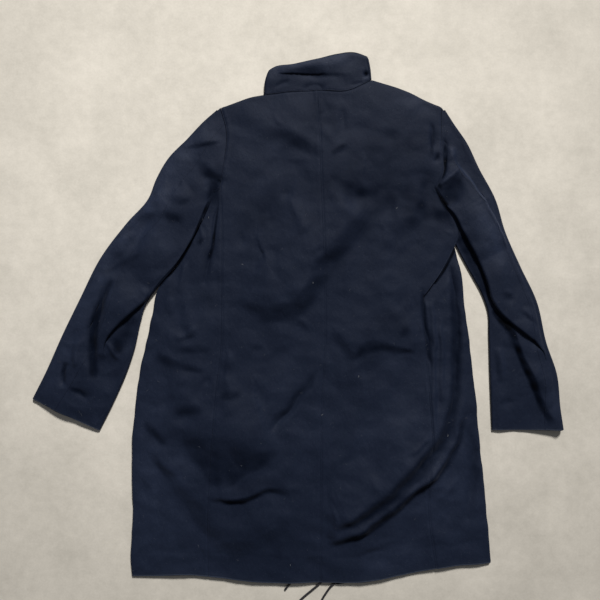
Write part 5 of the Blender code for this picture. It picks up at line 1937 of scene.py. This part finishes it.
@dataclass
class Drawcord:
    """The drawcord's free ends: a round braid of eight strands.

    Attributes:
        braid: the cord's material.
        diameter: the cord's thickness.
        rest: height of its middle on the floor.
        start: height of its middle where it comes out under the back.
        drop_run: the length over which it comes down.
        relief: how far a strand stands out, as a share of the radius.
        strand_pitch: the length in which a strand goes once round.
        strands: how many strands run each way.
        around: points round the cord.
        spacing: distance between its rings.
        end_round: the length over which an end closes.
        path_points: points of a sparse copy of the cord's line, which nothing uses.
    """

    braid: bpy.types.Material
    diameter: float = 4.0
    rest: float = 2.05
    start: float = 3.2
    drop_run: float = 14.0
    relief: float = 0.13
    strand_pitch: float = 15.0
    strands: int = 4
    around: int = 24
    spacing: float = 0.55
    end_round: float = 1.2
    path_points: int = 24

    def build(self) -> None:
        """Builds every cord end."""
        for end in CORD_ENDS:
            length = length_of(end.route)
            line = smooth_line(end.route, int(length / self.spacing))
            run = np.linspace(0, length, len(line))
            height = self.rest + (self.start - self.rest) * eased(1 - run / self.drop_run)
            path = np.column_stack([line, height])
            piece = self.tube(end.node.replace("cord_", "drawcord_"), path, run)
            piece.data.materials.append(self.braid)
            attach(piece, "root")
            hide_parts(end.node)
            sparse = path[::max(1, len(path) // self.path_points)]
            if not np.allclose(sparse[-1], path[-1]):
                sparse = np.vstack([sparse, path[-1]])
            log.info("%s: %.0f mm", piece.name, length)

    def tube(self, name: str, path: np.ndarray, run: np.ndarray) -> bpy.types.Object:
        """A closed tube whose surface has the braid's crossing strands.

        Args:
            name: the piece's name.
            path: points of its middle line.
            run: distance along it at each point.

        Returns:
            The mesh object.
        """
        along = unit(np.gradient(path, axis=0))
        side = unit(np.cross(along, np.array([0.0, 0.0, 1.0])))
        up = np.cross(side, along)
        angles = np.linspace(0, 2 * np.pi, self.around, endpoint=False)[None, :]
        phase = 2 * np.pi * run[:, None] / self.strand_pitch
        weave = np.maximum(np.cos(self.strands * (angles - phase)), np.cos(self.strands * (angles + phase)))
        radius = self.diameter / 2 * (1 - self.relief + self.relief * weave)
        ends = np.minimum(run, run[-1] - run)[:, None]
        radius = radius * np.sqrt(np.clip(ends / self.end_round, 0.04, 1))
        ring = side[:, None] * np.cos(angles)[..., None] + up[:, None] * np.sin(angles)[..., None]
        points = path[:, None] + ring * radius[..., None]
        index = np.arange(len(path) * self.around).reshape(len(path), self.around)
        onward = np.roll(index, -1, 1)
        quads = np.stack([index[:-1], onward[:-1], onward[1:], index[1:]], axis=-1).reshape(-1, 4)
        faces = quads.tolist() + [index[0, ::-1].tolist(), index[-1].tolist()]
        return closed_mesh(name, points.reshape(-1, 3), faces)


class Generator:
    """A Geometry Nodes tree made here, run once on a mesh, whose result becomes a plain mesh."""

    def __init__(self, name: str, **inputs: tuple[str, object]) -> None:
        """Makes the tree with its named inputs.

        Args:
            name: the tree's name.
            inputs: each input's socket type, without its prefix, and its usual value.
        """
        self.tree = bpy.data.node_groups.new(name, "GeometryNodeTree")
        self.tree.is_modifier = True
        face = self.tree.interface
        face.new_socket("Geometry", in_out="INPUT", socket_type="NodeSocketGeometry")
        face.new_socket("Geometry", in_out="OUTPUT", socket_type="NodeSocketGeometry")
        for key, (kind, value) in inputs.items():
            socket = face.new_socket(key.capitalize(), in_out="INPUT", socket_type="NodeSocket" + kind)
            if value is not None:
                socket.default_value = value
        self.given = self.tree.nodes.new("NodeGroupInput")
        self.result = self.tree.nodes.new("NodeGroupOutput")

    def add(self, kind: str, links: dict[str | int, object], **settings: str) -> bpy.types.Node:
        """Adds a node.

        Args:
            kind: the node's type.
            links: what goes into each input, by its name or number: an output socket or a value.
            settings: the node's settings.

        Returns:
            The new node.
        """
        node = self.tree.nodes.new(kind)
        for key, value in settings.items():
            setattr(node, key, value)
        for key, value in links.items():
            if isinstance(value, bpy.types.NodeSocket):
                self.tree.links.new(value, node.inputs[key])
            else:
                node.inputs[key].default_value = value
        return node

    def spread(self, points: bpy.types.NodeSocket, shape: bpy.types.NodeSocket, turn: bpy.types.NodeSocket,
               least: float, most: float) -> None:
        """Puts a shape on every point, with its size drawn between two factors, and ends the tree.

        Args:
            points: the points.
            shape: the shape's geometry.
            turn: each one's rotation.
            least: the smallest factor.
            most: the largest factor.
        """
        given = self.given.outputs
        size = self.add("FunctionNodeRandomValue", {2: least, 3: most, "Seed": given["Seed"]})
        placed = self.add("GeometryNodeInstanceOnPoints",
                          {"Points": points, "Instance": shape, "Rotation": turn, "Scale": size.outputs[1]})
        real = self.add("GeometryNodeRealizeInstances", {"Geometry": placed.outputs[0]})
        smooth = self.add("GeometryNodeSetShadeSmooth", {"Geometry": real.outputs[0]})
        dressed = self.add("GeometryNodeSetMaterial",
                           {"Geometry": smooth.outputs[0], "Material": given["Material"]})
        self.tree.links.new(dressed.outputs[0], self.result.inputs["Geometry"])

    def run(self, name: str, points: np.ndarray, edges: list[tuple[int, int]], **values: object) -> None:
        """Runs the tree on a mesh of points and edges, and finishes the piece.

        Args:
            name: the piece's name.
            points: the mesh's points, in mm.
            edges: its edges.
            values: the modifier's inputs.
        """
        source = bpy.data.meshes.new(name + "_places")
        source.from_pydata((points * MM).tolist(), edges, [])
        piece = bpy.data.objects.new(name, source)
        bpy.context.scene.collection.objects.link(piece)
        modifier = piece.modifiers.new("generator", "NODES")
        modifier.node_group = self.tree
        items = self.tree.interface.items_tree
        sockets = {item.name: item.identifier for item in items if item.in_out == "INPUT"}
        for key, value in values.items():
            modifier[sockets[key.capitalize()]] = value
        evaluated = piece.evaluated_get(bpy.context.evaluated_depsgraph_get())
        mesh = bpy.data.meshes.new_from_object(evaluated)
        piece.modifiers.clear()
        piece.data = mesh
        bpy.data.meshes.remove(source)
        mesh.name = name
        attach(piece, "root")
        log.info("%s: %d faces", name, len(mesh.polygons))


@dataclass
class SeamStitches:
    """The seams' stitches, which show as short bars of thread across the groove.

    Attributes:
        thread: their material.
        pitch: distance from stitch to stitch.
        length: how far a stitch reaches across the seam.
        thickness: the thread's thickness.
        sink: height of its middle over the cloth's middle surface.
        slant: how far it is turned from square, in radians.
        sizes: the smallest and the largest stitch, as factors.
    """

    thread: bpy.types.Material
    pitch: float = 3.4
    length: float = 2.2
    thickness: float = 0.42
    sink: float = 0.5
    slant: float = 0.35
    sizes: tuple[float, float] = (0.88, 1.1)

    def build(self, seams: list[np.ndarray]) -> None:
        """Sews the seams.

        Args:
            seams: their lines on the cloth's middle surface.
        """
        make = Generator("stitch_row", pitch=("Float", 0.003), size=("Vector", (0.001, 0.001, 0.001)),
                         seed=("Int", 4), material=("Material", None))
        given = make.given.outputs
        curve = make.add("GeometryNodeMeshToCurve", {"Mesh": given["Geometry"]})
        even = make.add("GeometryNodeResampleCurve", {"Curve": curve.outputs[0], "Length": given["Pitch"]},
                        mode="LENGTH")
        bar = make.add("GeometryNodeMeshUVSphere", {"Segments": 6, "Rings": 5, "Radius": 0.5})
        sized = make.add("GeometryNodeTransform", {"Geometry": bar.outputs["Mesh"], "Scale": given["Size"]})
        slant = make.add("GeometryNodeTransform",
                         {"Geometry": sized.outputs[0], "Rotation": (0.0, 0.0, self.slant)})
        along = make.add("GeometryNodeInputTangent", {})
        turn = make.add("FunctionNodeAlignRotationToVector", {"Vector": along.outputs[0]}, axis="X",
                        pivot_axis="Z")
        make.spread(even.outputs[0], slant.outputs[0], turn.outputs[0], *self.sizes)
        starts = np.cumsum([0] + [len(seam) for seam in seams])
        edges = [(i, i + 1) for start, stop in zip(starts, starts[1:]) for i in range(start, stop - 1)]
        points = np.concatenate(seams) + np.array([0, 0, self.sink])
        size = [value * MM for value in (self.thickness, self.length, self.thickness)]
        make.run("seam_stitches", points, edges, pitch=self.pitch * MM, size=size, seed=4,
                 material=self.thread)


# Where single bits of pale lint lie
LINT: Rows2 = (
    (-164,185), (30,66), (184,203), (-101,96), (113,-104), (-64,-225), (-104,-269), (275,-215), (45,-177),
    (-12,-458),
)


@dataclass
class LooseFibres:
    """Stray fibres that lie on the nap, and single bits of pale lint.

    Attributes:
        fibre: the strays' material.
        lint: the lint's material.
        share: the share of the cloth's points that hold a stray.
        length: a stray's usual length.
        thickness: a stray's thickness.
        bow: how far its middle lies to the side.
        lift: height of its middle over the cloth's middle surface.
        tilt: the most that it is tilted, in radians.
        sizes: the shortest and the longest, as factors.
    """

    fibre: bpy.types.Material
    lint: bpy.types.Material
    share: float = 0.008
    length: float = 4.2
    thickness: float = 0.22
    bow: float = 1.3
    lift: float = 1.25
    tilt: float = 0.12
    sizes: tuple[float, float] = (0.35, 1.3)

    def build(self, tops: list[np.ndarray]) -> None:
        """Scatters them.

        Args:
            tops: points of the cloth's middle surface.
        """
        make = Generator("fibres", share=("Float", 0.01), length=("Float", 0.004), bow=("Float", 0.001),
                         thickness=("Float", 0.0002), seed=("Int", 7), material=("Material", None))
        given = make.given.outputs
        kept = make.add("FunctionNodeRandomValue", {"Probability": given["Share"], "Seed": given["Seed"]},
                        data_type="BOOLEAN")
        cloud = make.add("GeometryNodeMeshToPoints",
                         {"Mesh": given["Geometry"], "Selection": kept.outputs[3]})
        end = make.add("ShaderNodeCombineXYZ", {"X": given["Length"]})
        half = make.add("ShaderNodeMath", {0: given["Length"], 1: 0.4}, operation="MULTIPLY")
        middle = make.add("ShaderNodeCombineXYZ", {"X": half.outputs[0], "Y": given["Bow"]})
        arc = make.add("GeometryNodeCurveQuadraticBezier",
                       {"Resolution": 6, "Start": (0.0, 0.0, 0.0), "Middle": middle.outputs[0],
                        "End": end.outputs[0]})
        radius = make.add("ShaderNodeMath", {0: given["Thickness"], 1: 0.5}, operation="MULTIPLY")
        ring = make.add("GeometryNodeCurvePrimitiveCircle", {"Resolution": 5, "Radius": radius.outputs[0]})
        tube = make.add("GeometryNodeCurveToMesh",
                        {"Curve": arc.outputs[0], "Profile Curve": ring.outputs[0], "Fill Caps": True})
        turn = make.add("FunctionNodeRandomValue",
                        {0: (-self.tilt, -self.tilt, 0.0), 1: (self.tilt, self.tilt, 6.283),
                         "Seed": given["Seed"]}, data_type="FLOAT_VECTOR")
        make.spread(cloud.outputs[0], tube.outputs["Mesh"], turn.outputs[0], *self.sizes)
        points = np.concatenate(tops) + np.array([0, 0, self.lift])
        make.run("loose_fibres", points, [], share=self.share, length=self.length * MM, bow=self.bow * MM,
                 thickness=self.thickness * MM, seed=7, material=self.fibre)
        bits = np.stack([points[np.hypot(*(points[:, :2] - spot).T).argmin()] for spot in np.array(LINT)])
        make.run("lint", bits, [], share=1.0, length=0.7 * self.length * MM, bow=0.5 * self.bow * MM,
                 thickness=2.2 * self.thickness * MM, seed=3, material=self.lint)


@dataclass
class Studio:
    """Floor, camera and lights.

    Attributes:
        centre: the point that the camera looks straight down at, in mm.
        camera_height: the camera's height, in mm.
        lens: focal length, in mm.
        sensor: width of the sensor, in mm.
        key_place: where the key light stands, in metres.
        key_size: its diameter.
        key_power: its power, in watts.
        key_colour: its colour.
        fill_strength: strength of the light from all round.
        fill_colour: its colour.
        floor_half: half the floor's width, in metres.
    """

    centre: tuple[float, float] = (4.6, 32.6)
    camera_height: float = 1116.0
    lens: float = 36.0
    sensor: float = 36.0
    key_place: tuple[float, float, float] = (1.66, 5.8, 5.25)
    key_size: float = 1.5
    key_power: float = 830.0
    key_colour: tuple[float, float, float] = (1.0, 0.985, 0.95)
    fill_strength: float = 0.13
    fill_colour: Row4 = (0.93, 0.96, 1.0, 1)
    floor_half: float = 4.0

    def build(self) -> None:
        """Makes the camera, the floor, the key light and the soft light from all round."""
        scene = bpy.context.scene
        camera = bpy.data.cameras.new("overhead")
        camera.lens = self.lens
        camera.sensor_width = self.sensor
        camera.clip_start = 0.01
        holder = bpy.data.objects.new("overhead", camera)
        holder.location = (self.centre[0] * MM, self.centre[1] * MM, self.camera_height * MM)
        scene.collection.objects.link(holder)
        scene.camera = holder
        key = bpy.data.lights.new("key", "AREA")
        key.shape = "DISK"
        key.size = self.key_size
        key.energy = self.key_power
        key.color = self.key_colour
        lamp = bpy.data.objects.new("key", key)
        lamp.location = self.key_place
        lamp.rotation_mode = "QUATERNION"
        lamp.rotation_quaternion = (-Vector(self.key_place)).to_track_quat("-Z", "Y")
        scene.collection.objects.link(lamp)
        world = bpy.data.worlds.new("soft_room")
        world.use_nodes = True
        background = world.node_tree.nodes["Background"]
        background.inputs["Color"].default_value = self.fill_colour
        background.inputs["Strength"].default_value = self.fill_strength
        scene.world = world
        scene.view_settings.view_transform = "Standard"
        self.floor()

    def floor(self) -> None:
        """Makes the floor."""
        half = self.floor_half / MM
        corners = np.array([(-half, -half, 0), (half, -half, 0), (half, half, 0), (-half, half, 0)])
        piece = closed_mesh("floor", corners, [[0, 1, 2, 3]])
        piece.data.materials.append(FloorFinish().build("pale_floor"))


def rows_for(line: Rows2) -> int:
    """How many rows a fine grid has along a line."""
    return int(length_of(line) / FINE)


def run_up(*lines: Rows2) -> np.ndarray:
    """Lines end to end at the fine grid's spacing, sharing their ends."""
    parts = [smooth_line(line, rows_for(line)) for line in lines]
    return np.concatenate([parts[0]] + [part[1:] for part in parts[1:]])


def build_body(wool: bpy.types.Material) -> CoatBody:
    """Builds the back, the side panels and the fronts.

    Args:
        wool: the cloth's material.

    Returns:
        The finished body, with its seams' lines.
    """
    body = CoatBody(wool)
    left_seam, left_armhole = run_up(LEFT_SIDE_BACK), run_up(LEFT_ARMHOLE)
    right_armhole = smooth_line(RIGHT_ARMHOLE, len(left_armhole))
    left_line = body.back("left_back", "back_left", Cut(0.216, 0.912, 0.172), LEFT_HEM,
                          np.concatenate([left_seam, left_armhole]), LEFT_SHOULDER, LEFT_NECK, False)
    right_outer = np.concatenate([run_up(RIGHT_SIDE_BACK, RIGHT_SLIT, RIGHT_FLAP), right_armhole[1:]])
    right_line = body.back("right_back", "back_right", Cut(0.260, 0.930, 0.188), RIGHT_HEM[::-1], right_outer,
                           RIGHT_SHOULDER, RIGHT_NECK[::-1], True)
    left_front_seam = body.side("left_side", "side_left", Cut(0.235, 0.717, 0.138), LEFT_SIDE_HEM[::-1],
                                left_seam, smooth_line(LEFT_BODY_EDGE, len(left_seam)), -1, True)
    right_seam = run_up(RIGHT_SIDE_BACK, HIDDEN_SIDE_BACK)
    right_front_seam = body.side("right_side", "side_right", Cut(0.210, 0.700, 0.099), RIGHT_SIDE_HEM,
                                 right_seam, smooth_line(RIGHT_BODY_EDGE, len(right_seam)), 1, False)
    body.seams += [left_line, right_line[:rows_for(RIGHT_SIDE_BACK)], right_line[-len(left_armhole):]]
    fronts = Fronts(wool)
    thin = int(COARSE / FINE)
    for side, cut, hem, seam, armhole, shoulder, lap_side in (
        ("left", Cut(0.312, 0.890, 0.231), LEFT_FRONT_HEM, left_front_seam, left_armhole, LEFT_SHOULDER, 1),
        ("right", Cut(0.283, 0.932, 0.230), RIGHT_FRONT_HEM, right_front_seam, right_armhole,
         RIGHT_SHOULDER, -1),
    ):
        line = np.concatenate([seam[::thin], armhole[1::thin], armhole[-1:]])
        fronts.front(f"{side}_front", f"front_{side}", hem, line, shoulder, lap_side)
    return body


def main() -> None:
    """Builds the studio, the cords and every piece of the coat."""
    logging.basicConfig(level=logging.INFO, format="%(name)s: %(message)s")
    Studio().build()
    Drawcord(ThreadFinish((0.030, 0.028, 0.034, 1), (0.006, 0.006, 0.008, 1)).build("braided_cord")).build()
    wool = WoolFinish().build("milled_wool")
    body = build_body(wool)
    tops = list(body.tops)
    for shape in (LEFT_SLEEVE, RIGHT_SLEEVE):
        sleeve = Sleeve(shape, wool)
        sleeve.build()
        tops.append(sleeve.top)
    Collar(wool).build()
    thread = ThreadFinish((0.012, 0.016, 0.030, 1), (0.004, 0.005, 0.010, 1)).build("sewing_thread")
    SeamStitches(thread).build(body.seams)
    fibre = ThreadFinish((0.11, 0.12, 0.15, 1), (0.05, 0.055, 0.07, 1)).build("pale_fibre")
    lint = ThreadFinish((0.26, 0.27, 0.29, 1), (0.15, 0.16, 0.17, 1)).build("pale_lint")
    LooseFibres(fibre, lint).build(tops)


if __name__ == "__main__":
    main()
